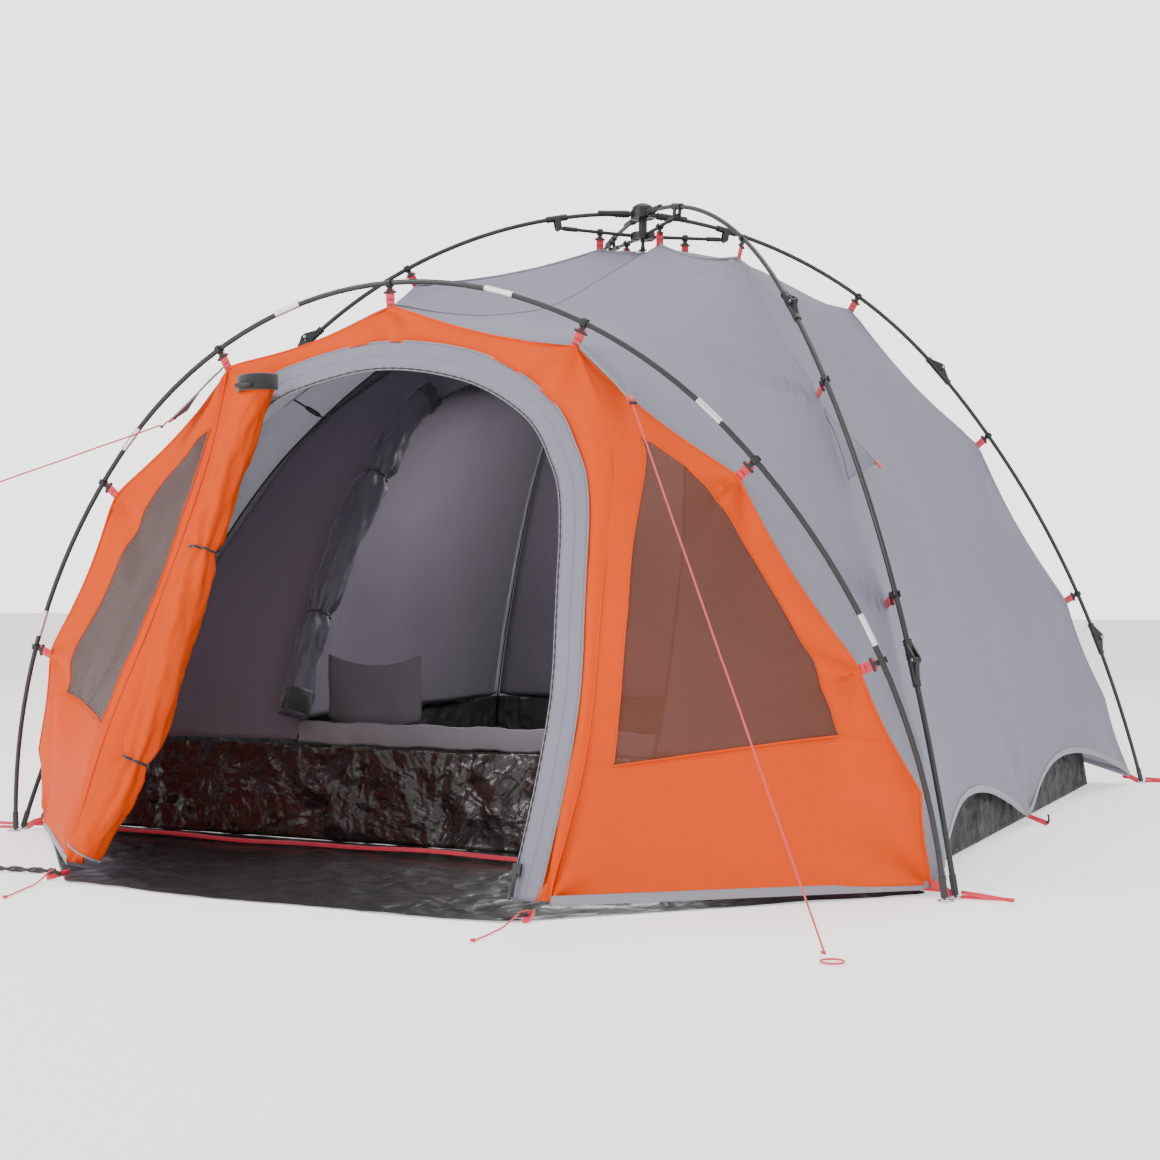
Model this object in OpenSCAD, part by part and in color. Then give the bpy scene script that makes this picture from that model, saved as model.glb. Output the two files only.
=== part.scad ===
// Pop-up dome tent with a front porch, pitched.
// Millimetres, +Z up. The origin is on the ground under the hub, and the porch faces -Y.

/* [Frame] */
// Distance of each leg foot from the centre, measured along X and along Y
foot_reach = 990; // [940:10:1040]
// Height of the hub hinge pins above the ground
hub_z = 1392; // [1370:2:1410]
// Distance of the hub hinge pins from the hub axis
hub_pin_r = 21; // [20:1:24]
// Slope of a leg where it leaves the hub, in degrees below level
leg_slope = 2; // [0:0.5:4]
// Length of a leg's upper pole
upper_len = 866; // [840:2:880]
// Bend of a leg's upper pole, in degrees
upper_bend = 43; // [40:0.5:45]
// Length of a leg's middle pole
middle_len = 826; // [800:2:850]
// Bend of a leg's middle pole, in degrees
middle_bend = 21; // [18:0.5:24]
// Diameter of every fibreglass pole
pole_d = 9.5; // [8.5:0.5:11]
// Distance along a leg from its hub pin to its strut bracket
bracket_at = 196; // [190:2:204]
// Drop from a leg's axis to the strut pin
bracket_drop = 22; // [20:1:24]
// Height of the struts' inner ends above the ground
runner_z = 1341; // [1338:1:1345]

/* [Porch] */
// Height of the arch pole, measured in its own leaning plane
arch_rise = 1055; // [1030:5:1075]
// Lean of the arch pole towards the front, in degrees
arch_lean = 6; // [4:0.5:8]
// Length of one section of the arch pole
arch_section = 450; // [440:5:460]
// Distance of the arch feet from the centre line
arch_x = 980; // [960:5:990]
// Distance of the arch feet in front of the centre
arch_y = 1022; // [1015:1:1030]
// Half of the porch's width at its front pegs
porch_x = 450; // [420:5:480]
// Distance of the porch's front pegs in front of the centre
porch_y = 1435; // [1380:5:1460]

/* [Fabric] */
// Thickness that stands for each fabric sheet
cloth = 2; // [1.5:0.5:3]
// Length of a webbing tab between a pole and the fly
tab_len = 42; // [36:1:50]
// Width of the webbing
web_w = 20; // [15:1:25]
// Height of the waterproof tub's walls
tub_h = 190; // [150:5:220]
// Distance of the cabin's corner seams inside the fly
cabin_gap = 85; // [70:5:100]

/* [Hidden] */
$fn = 32;
eps = 0.01;

// Names of colours
c_pole = [0.16, 0.17, 0.18];
c_plastic = [0.1, 0.1, 0.11];
c_metal = [0.75, 0.76, 0.78];
c_grey = [0.64, 0.64, 0.69];
c_orange = [0.93, 0.45, 0.2];
c_red = [0.86, 0.1, 0.22];
c_mesh = [0.5, 0.3, 0.24];
c_cabin = [0.36, 0.34, 0.39];
c_tub = [0.12, 0.11, 0.12];

// ---- Plane curves -------------------------------------------------------------
// A point in a leg's plane is [r, z]. A direction a is in degrees below level, outwards.
function ahead(a) = [cos(a), -sin(a)];
function outer(a) = [sin(a), cos(a)];
function radius(len, bend) = len * 180 / (PI * bend);
// Point at distance s along an arc that starts at p with direction a
function along(p, a, len, bend, s) =
  let(r = radius(len, bend), b = a + bend * s / len) p + r * (outer(b) - outer(a));
// Bend and length of the one arc that leaves p with direction a and ends at q
function bend_to(p, a, q) = 2 * (atan2(p.y - q.y, q.x - p.x) - a);
function len_to(p, a, q) =
  let(b = bend_to(p, a, q)) norm(q - p) * (b / 2) * PI / 180 / sin(b / 2);

// Tube bent along one arc, from s0 to s1
module bent_tube(arc, s0, s1, d) {
  r = radius(arc[2], arc[3]);
  c = arc[0] - r * outer(arc[1]);
  turn = arc[3] * (s1 - s0) / arc[2];
  a0 = arc[1] + arc[3] * s0 / arc[2];
  translate([c.x, 0, c.y]) rotate([90, 0, 0]) rotate([0, 0, 90 - a0 - turn])
    rotate_extrude(angle = turn, $fn = 96) translate([r, 0]) circle(d = d, $fn = 24);
}

// Moves children built along +X, with +Z outwards, to the point at distance s along an arc
module on_arc(arc, s) {
  p = along(arc[0], arc[1], arc[2], arc[3], s);
  translate([p.x, 0, p.y]) rotate([0, arc[1] + arc[3] * s / arc[2], 0]) children();
}

// ---- Leg layout ---------------------------------------------------------------
foot_r = foot_reach * sqrt(2);
foot_z = 5;
arc_u = [[hub_pin_r, hub_z], leg_slope, upper_len, upper_bend];
knee_1 = along(arc_u[0], arc_u[1], arc_u[2], arc_u[3], upper_len);
arc_m = [knee_1, leg_slope + upper_bend, middle_len, middle_bend];
knee_2 = along(arc_m[0], arc_m[1], arc_m[2], arc_m[3], middle_len);
slope_l = leg_slope + upper_bend + middle_bend;
arc_l = [knee_2, slope_l, len_to(knee_2, slope_l, [foot_r, foot_z]), bend_to(knee_2, slope_l, [foot_r, foot_z])];

bracket_a = leg_slope + upper_bend * bracket_at / upper_len;
bracket_p = along(arc_u[0], arc_u[1], arc_u[2], arc_u[3], bracket_at);
strut_pin = bracket_p - bracket_drop * outer(bracket_a);
runner_pin = [hub_pin_r, runner_z];
strut_len = norm(strut_pin - runner_pin);
strut_tilt = atan2(runner_pin.y - strut_pin.y, strut_pin.x - runner_pin.x);

// Turns about Z that place the four legs
fr = -45;
fl = -135;
rr = 45;
rl = 135;

// ---- Knuckle and hinge sizes --------------------------------------------------
sleeve_d = 15;
sleeve_len = 42;
pin_off = 14;
lug_r = 6;
tongue_r = 5.5;
tongue_w = 7;
fork_gap = 8;
fork_w = 14;
pin_d = 4;
bore_d = 4.4;
butt_gap = 0.3;

// ---- Arch layout --------------------------------------------------------------
// A point in the arch's plane is [x, h], with h up the leaning plane from the arch feet
arch_foot = [arch_x, 0];
arch_z = 6;
arch_bends = [16.3, 28.1, 20.2];
arc_a0 = [[0, arch_rise], 0, arch_section / 2, arch_bends[0]];
arch_p1 = along(arc_a0[0], 0, arc_a0[2], arc_a0[3], arc_a0[2]);
arc_a1 = [arch_p1, arch_bends[0], arch_section, arch_bends[1]];
arch_p2 = along(arch_p1, arc_a1[1], arc_a1[2], arc_a1[3], arc_a1[2]);
arc_a2 = [arch_p2, arc_a1[1] + arch_bends[1], arch_section, arch_bends[2]];
arch_p3 = along(arch_p2, arc_a2[1], arc_a2[2], arc_a2[3], arc_a2[2]);
arch_d3 = arc_a2[1] + arch_bends[2];
arc_a3 = [arch_p3, arch_d3, len_to(arch_p3, arch_d3, arch_foot), bend_to(arch_p3, arch_d3, arch_foot)];
arch_arcs = [arc_a0, arc_a1, arc_a2, arc_a3];

// Takes [x, h] of the arch's plane to the tent's frame
function arch_world(q) =
  [q.x, -arch_y - q.y * sin(arch_lean), arch_z + q.y * cos(arch_lean)];
module in_arch_plane() {
  translate([0, -arch_y, arch_z]) rotate([arch_lean, 0, 0]) children();
}

// Where the tabs sit: [arc, distance along it]
arch_tabs = [[arc_a0, 0], [arc_a1, 175], [arc_a2, 115], [arc_a3, 55]];
leg_tabs = [[arc_u, 580], [arc_m, 214], [arc_m, 696]];
strut_tab_r = 108;

function tab_end(t, drop) =
  along(t[0][0], t[0][1], t[0][2], t[0][3], t[1])
  - drop * outer(t[0][1] + t[0][3] * t[1] / t[0][2]);

// ---- Fly outline --------------------------------------------------------------
// Corner seam under a leg, as [r, z], from the peak to the foot
peak_z = 1298;
ridge = [
  [0, peak_z], [strut_tab_r, peak_z + 4], tab_end(leg_tabs[0], tab_len), tab_end(leg_tabs[1], tab_len),
  tab_end(leg_tabs[2], tab_len), [1285, 225], [1362, 24]
];
// Seam under the arch, right half, from the top to the corner
corner = [945, -975, 16];
seam = [
  for (t = arch_tabs) arch_world(tab_end(t, tab_len)),
  [936, -1004, 170],
  corner
];
// How far forward the porch's front face stands at a point [x, z]
face_foot_z = 26;
function face_y(x, z) =
  let(
    k = cos(90 * min(1, abs(x) / 540)),
    middle = seam[0].y + (porch_y + seam[0].y) * (z - seam[0].z) / (seam[0].z - face_foot_z),
    side = -1085 + (porch_y - 1085) * (z - 925) / (925 - face_foot_z)
  ) side * (1 - k) + middle * k;
function on_face(q) = [q[0], face_y(q[0], q[1]), q[1]];
// Front crease of the porch, right half, from its tab to its peg
crease = [
  seam[1], on_face([455, 740]), on_face([482, 480]), on_face([497, 240]), on_face([porch_x + 25, face_foot_z])
];
// The same on the left, mirrored, where the open door lets the crease move in
crease_left = [
  seam[1], on_face([362, 740]), on_face([405, 480]), on_face([458, 240]), on_face([porch_x + 25, face_foot_z])
];
// Outer and inner edges of the door's zip binding as [x, z], right half, from the foot to the top
binding_out = [[455, 24], [468, 173], [470, 329], [452, 489], [430, 656], [396, 743], [330, 834], [194, 914], [0, 945]];
left_edge = [[-442, 24], [-398, 150], [-368, 290], [-350, 440], [-331, 610], [-306, 770], [-285, 872], [-194, 914]];
binding_in = [[408, 24], [421, 173], [424, 329], [407, 489], [386, 645], [356, 722], [298, 800], [176, 868], [0, 897]];
// Mesh window as [across from crease to seam, down from tab to peg], left edge first, then right
window_near = [[0.33, 0.21], [0.15, 0.36], [0.1, 0.5], [0.085, 0.64], [0.08, 0.76]];
window_far = [[0.43, 0.215], [0.73, 0.29], [0.82, 0.39], [0.82, 0.51], [0.82, 0.65]];
window_low = [[0.32, 0.73], [0.56, 0.69]];
window_near_left = [[0.09, 0.165], [0.06, 0.3], [0.06, 0.44], [0.06, 0.58], [0.065, 0.725]];
window_far_left = [[0.24, 0.19], [0.5, 0.28], [0.64, 0.37], [0.7, 0.48], [0.74, 0.62]];
window_low_left = [[0.3, 0.7], [0.52, 0.66]];

// ---- Cabin outline ------------------------------------------------------------
// Corner seam of the hanging cabin, as [r, z], from the peak to the tub
cabin_ridge = [
  [14, peak_z - cabin_gap], [ridge[2].x - cabin_gap, ridge[2].y - cabin_gap],
  [ridge[3].x - cabin_gap, ridge[3].y - 45], [ridge[4].x - cabin_gap - 15, ridge[4].y - 10], [1200, tub_h]
];
tub_r = 1235;
// Cabin door as [x, z], right half, from the sill to the top
cabin_door = [[395, 200], [402, 330], [388, 600], [345, 800], [262, 915], [130, 975], [0, 992]];

// ---- Routes of the cords, chosen by hand ---------------------------------------
guy_tip = [482, -1150, 822];
guy_d = 3;
guy_right_path = [
  [490, -1158, 812], [545, -1206, 718], [600, -1254, 622], [655, -1300, 526], [710, -1348, 430],
  [765, -1394, 334], [820, -1442, 238], [875, -1488, 142], [930, -1535, 46], [952, -1554, 8]
];
guy_left_path = [
  [-492, -1162, 816], [-540, -1200, 792], [-590, -1240, 768], [-640, -1280, 743], [-690, -1320, 719],
  [-740, -1360, 694], [-790, -1400, 670], [-830, -1432, 650]
];
porch_right_path = [
  [452, -1462, 15], [450, -1485, 14], [448, -1510, 7], [450, -1540, 2], [454, -1570, 2], [458, -1600, 2],
  [460, -1630, 2], [461, -1650, 2]
];
porch_left_path = [
  [-482, -1456, 15], [-474, -1480, 14], [-464, -1508, 7], [-452, -1540, 2], [-440, -1570, 2], [-428, -1600, 2],
  [-416, -1630, 2], [-404, -1660, 2]
];

function mirror_x(p) = [-p.x, p.y, p.z];
function mirrored(list) = [for (p = list) mirror_x(p)];
function at_turn(q, turn) = [q.x * cos(turn), q.x * sin(turn), q.y];
// Point at fraction t along a list of points, each stretch taking an equal share
function walk(list, t) =
  let(n = len(list) - 1, k = min(floor(t * n), n - 1), f = t * n - k)
  list[k] * (1 - f) + list[k + 1] * f;
function mix(a, b, t) = a * (1 - t) + b * t;

// ---- Thick sheets -------------------------------------------------------------
function toward(p, c) = (c - p) / norm(c - p);
// Closed solid from a grid of points (rows of equal length), thickened towards point c.
// With ring = true each row closes on itself.
module sheet(grid, c, t = cloth, ring = false) {
  n = len(grid);
  m = len(grid[0]);
  k = n * m;
  last = ring ? m - 1 : m - 2;
  outside = [for (row = grid) for (p = row) p];
  inside = [for (row = grid) for (p = row) p + t * toward(p, c)];
  function at(i, j) = i * m + j % m;
  over = [for (i = [0:n - 2]) for (j = [0:last])
    each [[at(i, j), at(i, j + 1), at(i + 1, j + 1)], [at(i, j), at(i + 1, j + 1), at(i + 1, j)]]];
  under = [for (f = over) [f[2] + k, f[1] + k, f[0] + k]];
  ends = [for (j = [0:last]) each [
    [at(0, j) + k, at(0, j + 1), at(0, j)], [at(0, j) + k, at(0, j + 1) + k, at(0, j + 1)],
    [at(n - 1, j), at(n - 1, j + 1), at(n - 1, j) + k],
    [at(n - 1, j + 1), at(n - 1, j + 1) + k, at(n - 1, j) + k]]];
  sides = ring ? [] : [for (i = [0:n - 2]) each [
    [at(i, 0), at(i + 1, 0), at(i, 0) + k], [at(i + 1, 0), at(i + 1, 0) + k, at(i, 0) + k],
    [at(i, m - 1) + k, at(i + 1, m - 1), at(i, m - 1)],
    [at(i, m - 1) + k, at(i + 1, m - 1) + k, at(i + 1, m - 1)]]];
  polyhedron(concat(outside, inside), concat(over, under, ends, sides), convexity = 6);
}

// Tube swept along a list of points, with n sides
module swept(path, d, n = 8) {
  last = len(path) - 1;
  function dir(i) = let(v = path[min(i + 1, last)] - path[max(i - 1, 0)]) v / norm(v);
  function side(i) =
    let(t = dir(i), w = cross(t, abs(t.z) > 0.9 ? [1, 0, 0] : [0, 0, 1])) w / norm(w);
  rings = [for (i = [0:last]) for (j = [0:n - 1])
    let(t = dir(i), u = side(i), v = cross(t, u), a = 360 * j / n)
    path[i] + d / 2 * (cos(a) * u + sin(a) * v)];
  walls = [for (i = [0:last - 1]) for (j = [0:n - 1])
    [i * n + j, i * n + (j + 1) % n, (i + 1) * n + (j + 1) % n, (i + 1) * n + j]];
  polyhedron(rings, concat([[for (j = [n - 1:-1:0]) j]], [[for (j = [0:n - 1]) last * n + j]],
    [for (w = walls) each [[w[0], w[1], w[2]], [w[0], w[2], w[3]]]]), convexity = 4);
}

// ---- Hub ----------------------------------------------------------------------
hub_r = 29;
hub_h = 18;
slot_w = 9;
eye_w = 8;
column_r = 9;
turns = [fr, fl, rr, rl];

// Round plate with one slot per leg, centred on height z
module slotted_plate(z, h, slot_from) {
  difference() {
    translate([0, 0, z - h / 2]) cylinder(r = hub_r, h = h, $fn = 96);
    for (t = turns)
      rotate(t) translate([slot_from, -slot_w / 2, z - h]) cube([hub_r, slot_w, 2 * h]);
    children();
  }
}

module pin_holes(z, d) {
  for (t = turns)
    rotate(t) translate([hub_pin_r, 0, z]) rotate([90, 0, 0]) cylinder(d = d, h = 30, center = true);
}

module hub() {
  color(c_plastic) slotted_plate(hub_z, hub_h, 12) {
    pin_holes(hub_z, bore_d);
    translate([0, 0, hub_z - hub_h]) cylinder(r = 4, h = 2 * hub_h);
  }
}

module hub_cap() {
  dome_r = 34;
  color(c_plastic) translate([0, 0, hub_z + hub_h / 2]) intersection() {
    cylinder(r = 25, h = 19, $fn = 96);
    translate([0, 0, 19 - dome_r]) sphere(r = dome_r, $fn = 96);
  }
}

module hub_pins() {
  color(c_metal) for (t = turns)
    rotate(t) translate([hub_pin_r, 0, hub_z]) rotate([90, 0, 0]) cylinder(d = pin_d, h = 20, center = true);
}

runner_h = 16;
module runner() {
  top = hub_z - hub_h / 2 - 0.5;
  color(c_plastic) {
    slotted_plate(runner_z, runner_h, 11.5);
    translate([0, 0, runner_z]) cylinder(r = column_r, h = top - runner_z);
    for (a = [0:45:315])
      rotate(a + 22.5) translate([column_r - 1, 0, runner_z]) cylinder(r = 2, h = top - runner_z);
  }
}

module pull_knob() {
  color(c_plastic) translate([0, 0, runner_z - runner_h / 2]) {
    translate([0, 0, -16]) cylinder(r = 4, h = 16);
    translate([0, 0, -28]) cylinder(r1 = 4.4, r2 = 5.4, h = 12);
  }
}

// ---- Leg fittings -------------------------------------------------------------
// Eye at the origin, with its bore along Y
module eye(r) {
  rotate([90, 0, 0]) cylinder(r = r, h = eye_w, center = true);
}
module cross_hole(x, z, d) {
  translate([x, 0, z]) rotate([90, 0, 0]) cylinder(d = d, h = 40, center = true);
}
module sleeve(x0, x1, d) {
  translate([x0, 0, 0]) rotate([0, 90, 0]) cylinder(d = d, h = x1 - x0);
}
// Two cheeks that hold a pin, cut from one side outline
module cheeks() {
  for (y = [-fork_w / 2, fork_gap / 2])
    translate([0, y, 0]) mirror([0, 1, 0]) rotate([90, 0, 0])
      linear_extrude((fork_w - fork_gap) / 2) children();
}

// Hinged end that stays with the pole before a knuckle: it ends at x = 0
module knuckle_fork() {
  difference() {
    union() {
      sleeve(-sleeve_len, -butt_gap, sleeve_d);
      cheeks() {
        translate([0, pin_off]) circle(r = lug_r);
        polygon([[-36, 4], [-6, pin_off + 5.2], [-0.5, pin_off + 5.6], [-0.5, 4]]);
      }
    }
    cross_hole(0, pin_off, bore_d);
  }
}
module knuckle_pin() {
  translate([0, 0, pin_off]) rotate([90, 0, 0]) cylinder(d = pin_d, h = fork_w + 3, center = true);
}
// Hinged end that leads the pole after a knuckle: it starts at x = 0
module knuckle_tongue() {
  difference() {
    union() {
      sleeve(butt_gap, sleeve_len, sleeve_d);
      rotate([90, 0, 0]) translate([0, 0, -tongue_w / 2]) linear_extrude(tongue_w) {
        translate([0, pin_off]) circle(r = tongue_r);
        polygon([[0, 9], [6, 7.4], [6, 2], [36, 2], [36, 5], [3, pin_off + 4.6], [0, pin_off + 5.4]]);
      }
    }
    cross_hole(0, pin_off, bore_d);
  }
}

module leg_upper_pole(turn) {
  color(c_pole) rotate(turn) bent_tube(arc_u, 30, upper_len - 4, pole_d);
}

module hub_socket() {
  difference() {
    union() {
      eye(7);
      translate([0, -eye_w / 2, -5]) cube([17, eye_w, 10]);
      translate([15, 0, 0]) rotate([0, 90, 0]) cylinder(d1 = 17, d2 = 12.5, h = 76);
    }
    cross_hole(0, 0, bore_d);
  }
}
module strut_bracket() {
  difference() {
    union() {
      sleeve(-25, 25, sleeve_d);
      for (y = [-7.8, 4.8]) translate([-7, y, -bracket_drop]) cube([14, 3, bracket_drop]);
      for (y = [-6.3, 6.3])
        translate([0, y, -bracket_drop]) rotate([90, 0, 0]) cylinder(r = 7, h = 3, center = true);
    }
    cross_hole(0, -bracket_drop, bore_d);
  }
  translate([0, 0, -bracket_drop]) rotate([90, 0, 0]) cylinder(d = pin_d, h = 18, center = true);
}

module leg_upper_fittings(turn) {
  color(c_plastic) rotate(turn) {
    on_arc(arc_u, 0) hub_socket();
    on_arc(arc_u, bracket_at) strut_bracket();
    on_arc(arc_u, upper_len) knuckle_fork();
    on_arc(arc_u, upper_len) knuckle_pin();
  }
}

module leg_middle(turn) {
  color(c_pole) rotate(turn) {
    bent_tube(arc_m, 4, middle_len - 4, pole_d);
    on_arc(arc_m, 0) knuckle_tongue();
    on_arc(arc_m, middle_len) knuckle_fork();
    on_arc(arc_m, middle_len) knuckle_pin();
  }
}

tip_d = 12;
module leg_lower(turn) {
  len = arc_l[2];
  color(c_pole) rotate(turn) {
    bent_tube(arc_l, 4, len - 4, pole_d);
    on_arc(arc_l, 0) knuckle_tongue();
    on_arc(arc_l, len) {
      sleeve(-34, 0, tip_d);
      sleeve(-1, 4, pin_d);
    }
  }
}

module strut(turn) {
  lean = atan2(strut_pin.y - runner_pin.y, runner_pin.x - strut_pin.x);
  color(c_plastic) rotate(turn) translate([strut_pin.x, 0, strut_pin.y]) rotate([0, lean, 0]) {
    difference() {
      union() {
        sleeve(0, strut_len, 8);
        sleeve(13, 46, 11);
        sleeve(strut_len - 46, strut_len - 13, 8.6);
        eye(6);
        translate([strut_len, 0, 0]) eye(5.5);
      }
      cross_hole(0, 0, bore_d);
      cross_hole(strut_len, 0, bore_d);
    }
  }
}

// ---- Arch ---------------------------------------------------------------------
module arch_pole() {
  middle = [[-arch_p1.x, arch_p1.y], -arch_bends[0], arch_section, 2 * arch_bends[0]];
  color(c_pole) in_arch_plane() {
    bent_tube(middle, 0.5, arch_section - 0.5, pole_d);
    for (side = [0, 1]) mirror([side, 0, 0]) {
      for (a = [arc_a1, arc_a2]) bent_tube(a, 0.5, a[2] - 0.5, pole_d);
      bent_tube(arc_a3, 0.5, arc_a3[2] - 4, pole_d);
      on_arc(arc_a3, arc_a3[2]) {
        sleeve(-34, 0, tip_d);
        sleeve(-1, 4, pin_d);
      }
    }
  }
}

module arch_ferrules() {
  ferrule_d = 11.5;
  color(c_metal) in_arch_plane()
    for (side = [0, 1]) mirror([side, 0, 0])
      for (a = [arc_a1, arc_a2, arc_a3]) on_arc(a, 0) sleeve(-28, 28, ferrule_d);
}

// ---- Tabs and clips -----------------------------------------------------------
clip_d = 17;
clip_w = 10;
// Snap hook round a pole of diameter d, and the bar that holds the webbing
module clip(d) {
  difference() {
    rotate([0, 90, 0]) cylinder(d = clip_d, h = clip_w, center = true);
    rotate([0, 90, 0]) cylinder(d = d + 1.4, h = clip_w + 2, center = true);
    translate([-clip_w, -d * 0.35, 0]) cube([2 * clip_w, d * 0.7, clip_d]);
  }
  translate([-4, -3, -15]) cube([8, 6, 8]);
  translate([-12, -2.5, -19]) cube([24, 5, 4]);
}
module tab() {
  translate([-web_w / 2, -1.5, -tab_len + 1]) cube([web_w, 3, tab_len - 20.5]);
}
// Puts children at every tab: $d is the pole's diameter there
module at_tabs() {
  for (t = turns) rotate(t) {
    for (k = leg_tabs) on_arc(k[0], k[1]) { $d = pole_d; children(); }
    translate([strut_tab_r, 0, runner_z + (strut_tab_r - hub_pin_r) * tan(-strut_tilt)]) { $d = 8; children(); }
  }
  in_arch_plane() for (k = arch_tabs) on_arc(k[0], k[1]) { $d = pole_d; children(); }
  in_arch_plane() mirror([1, 0, 0]) for (k = [for (i = [1:3]) arch_tabs[i]]) on_arc(k[0], k[1]) {
    $d = pole_d;
    children();
  }
}
module tension_tabs() {
  color(c_red) at_tabs() tab();
}
module pole_clips() {
  color(c_plastic) at_tabs() clip($d);
}

// ---- Grey fly -----------------------------------------------------------------
fly_c = [0, 0, 300];
columns = 8;
// Inward pull of the middle of a side panel at each point of its ridge
side_pull = [0, 4, 30, 45, 55, 60, 60];
hem_scallop = 95;

// Side panel on +X between the seams of two neighbouring legs, peak first
function side_row(i) = [for (j = [0:columns])
  let(u = j / columns, q = ridge[i], lift = i == 6 ? hem_scallop * abs(sin(360 * u)) : 0)
  mix(at_turn(q, fr), at_turn(q, rr), u) + [-side_pull[i] * sin(180 * u), 0, lift]];
module fly_side() {
  first = [for (j = [0:columns]) at_turn([12, peak_z], fr + (rr - fr) * j / columns)];
  sheet(concat([first], [for (i = [1:6]) side_row(i)]), fly_c);
}
module fly_right() { color(c_grey) fly_side(); }
module fly_left() { color(c_grey) rotate(180) fly_side(); }
module fly_back() { color(c_grey) rotate(90) fly_side(); }

// Front panel, right half, between the leg's seam and the arch's seam
front_sag = [70, 65, 55, 38, 22, 8, 0];
seam_stops = [seam[0], mix(seam[0], seam[1], 0.5), seam[1], seam[2], seam[3], seam[4], corner];
function front_row(i) = [for (j = [0:6])
  let(
    w = j / 6,
    upper = i == 0 ? [1, -14, peak_z - 1] : at_turn(ridge[i], fr + 0.3),
    p = mix(upper, seam_stops[i], w) + (i == 0 ? [0.5 * w, 0, 0] : [0, 0, 0])
  ) p + front_sag[i] * sin(180 * w) * toward(p, [0, -400, 0])];
module fly_front_right() {
  color(c_grey) sheet([for (i = [0:6]) front_row(i)], [0, -300, 300]);
}
module fly_front_left() {
  color(c_grey) mirror([1, 0, 0]) sheet([for (i = [0:6]) front_row(i)], [0, -300, 300]);
}

// ---- Orange porch -------------------------------------------------------------
porch_c = [0, -700, 350];
seam_gap = 3;
function on_side(u, t, front = crease) = mix(walk(front, t), walk([seam[1], seam[2], seam[3], seam[4], corner], t), u);

module porch_face() {
  edge = [for (t = [1:-0.125:0]) walk(crease, t)];
  outline = [for (i = [0:8]) i < 7 ? edge[i] : (i == 7 ? mix(seam[1], seam[0], 0.5) : seam[0])];
  half = [for (i = [0:8])
    let(inner = on_face(binding_out[i]), outside = i < 7 ? walk(crease, 1 - i / 6.5) : outline[i])
    [inner, mix(inner, outside, 0.5), outside]];
  other = [for (i = [7:-1:0])
    let(inner = on_face(left_edge[i]), outside = mirror_x(i < 7 ? walk(crease_left, 1 - i / 6.5) : half[i][2]))
    [inner, mix(inner, outside, 0.5), outside]];
  color(c_orange) sheet([for (row = concat(half, other)) [row[2], row[1], row[0]]], porch_c);
}

module porch_side(front, near, far, low) {
  rim = [
    [0.02, 0.05], [0.02, 0.3], [0.02, 0.5], [0.02, 0.75], [0.02, 1], [0.35, 1], [0.7, 1],
    [0.98, 1], [0.98, 0.72], [0.98, 0.5], [0.98, 0.28], [0.98, 0.06]
  ];
  hole = concat(near, low, [for (i = [4:-1:0]) far[i]]);
  outer_loop = [for (q = rim) on_side(q[0], q[1], front)];
  inner_loop = [for (q = hole) on_side(q[0], q[1], front)];
  middle = [for (i = [0:11]) let(q = mix(rim[i], hole[i], 0.5)) on_side(q[0], q[1], front)];
  sheet([outer_loop, middle, inner_loop], porch_c, ring = true);
}
module porch_side_right() { color(c_orange) porch_side(crease, window_near, window_far, window_low); }
module porch_side_left() {
  color(c_orange) mirror([1, 0, 0]) porch_side(crease_left, window_near_left, window_far_left, window_low_left);
}

module pane(front, near, far) {
  rows = [for (i = [0:4])
    [for (k = [0:3]) let(q = mix(near[i], far[i], 0.03 + 0.94 * k / 3)) on_side(q[0], q[1], front)]];
  sheet(rows, porch_c, 1.5);
}
module porch_windows() {
  color(c_mesh) {
    pane(crease, window_near, window_far);
    mirror([1, 0, 0]) pane(crease_left, window_near_left, window_far_left);
  }
}

// Grey strip along the door's zip, from the right foot over the top to the left shoulder
module door_binding() {
  outs = concat(binding_out, [left_edge[7], left_edge[6]]);
  ins = concat(binding_in, [[-176, 868], [-258, 828]]);
  rows = [for (i = [0:10]) [for (f = [0.04, 0.5, 1])
    on_face([outs[i][0] * (1 - f) + ins[i][0] * f, outs[i][1] * (1 - f) + ins[i][1] * f])]];
  color(c_grey) sheet(rows, porch_c, 2.5);
}

// Door rolled up and tied along the left edge of the opening
module door_roll() {
  path = [
    [-240, 876], [-260, 765], [-284, 610], [-305, 430], [-328, 250], [-364, 140], [-408, 50]
  ];
  centre = [for (q = path) on_face(q) - [0, 42, 0]];
  color(c_orange) swept(centre, 66, 10);
}

// Slider of the door's zip, on the front of the binding near the ground
module door_zip_slider() {
  low = on_face([416, 60]);
  high = on_face([424, 329]);
  lean = atan2(high.y - low.y, high.z - low.z);
  color(c_plastic) translate(low - [0, 11, 0]) rotate([-lean, 0, 0]) {
    translate([-7, -3, 0]) cube([14, 6, 20]);
    translate([-3, -5, -34]) cube([6, 2, 38]);
  }
}

// Flaps over the air vents: two beside the arch, two beside the front legs
module vent_hoods() {
  color(c_grey) for (side = [0, 1]) mirror([side, 0, 0]) {
    near = seam[1] + [8, -6, 0];
    far = mix(seam[1], seam[2], 0.52) + [4, -8, 0];
    sheet([[near + [0, 0, 6], far + [0, 0, 6]], [guy_tip - [4, 0, 4], guy_tip + [4, 0, 4]]], porch_c);
    top = at_turn(ridge[3], fr) + [14, 0, -20];
    low = at_turn(mix(ridge[3], ridge[4], 0.42), fr) + [14, 0, 0];
    tip = at_turn(mix(ridge[3], ridge[4], 0.36), fr) + [72, 18, 6];
    sheet([[low, top], [tip, tip + [0, 0, 8]]], [400, -200, 300]);
  }
}

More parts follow.
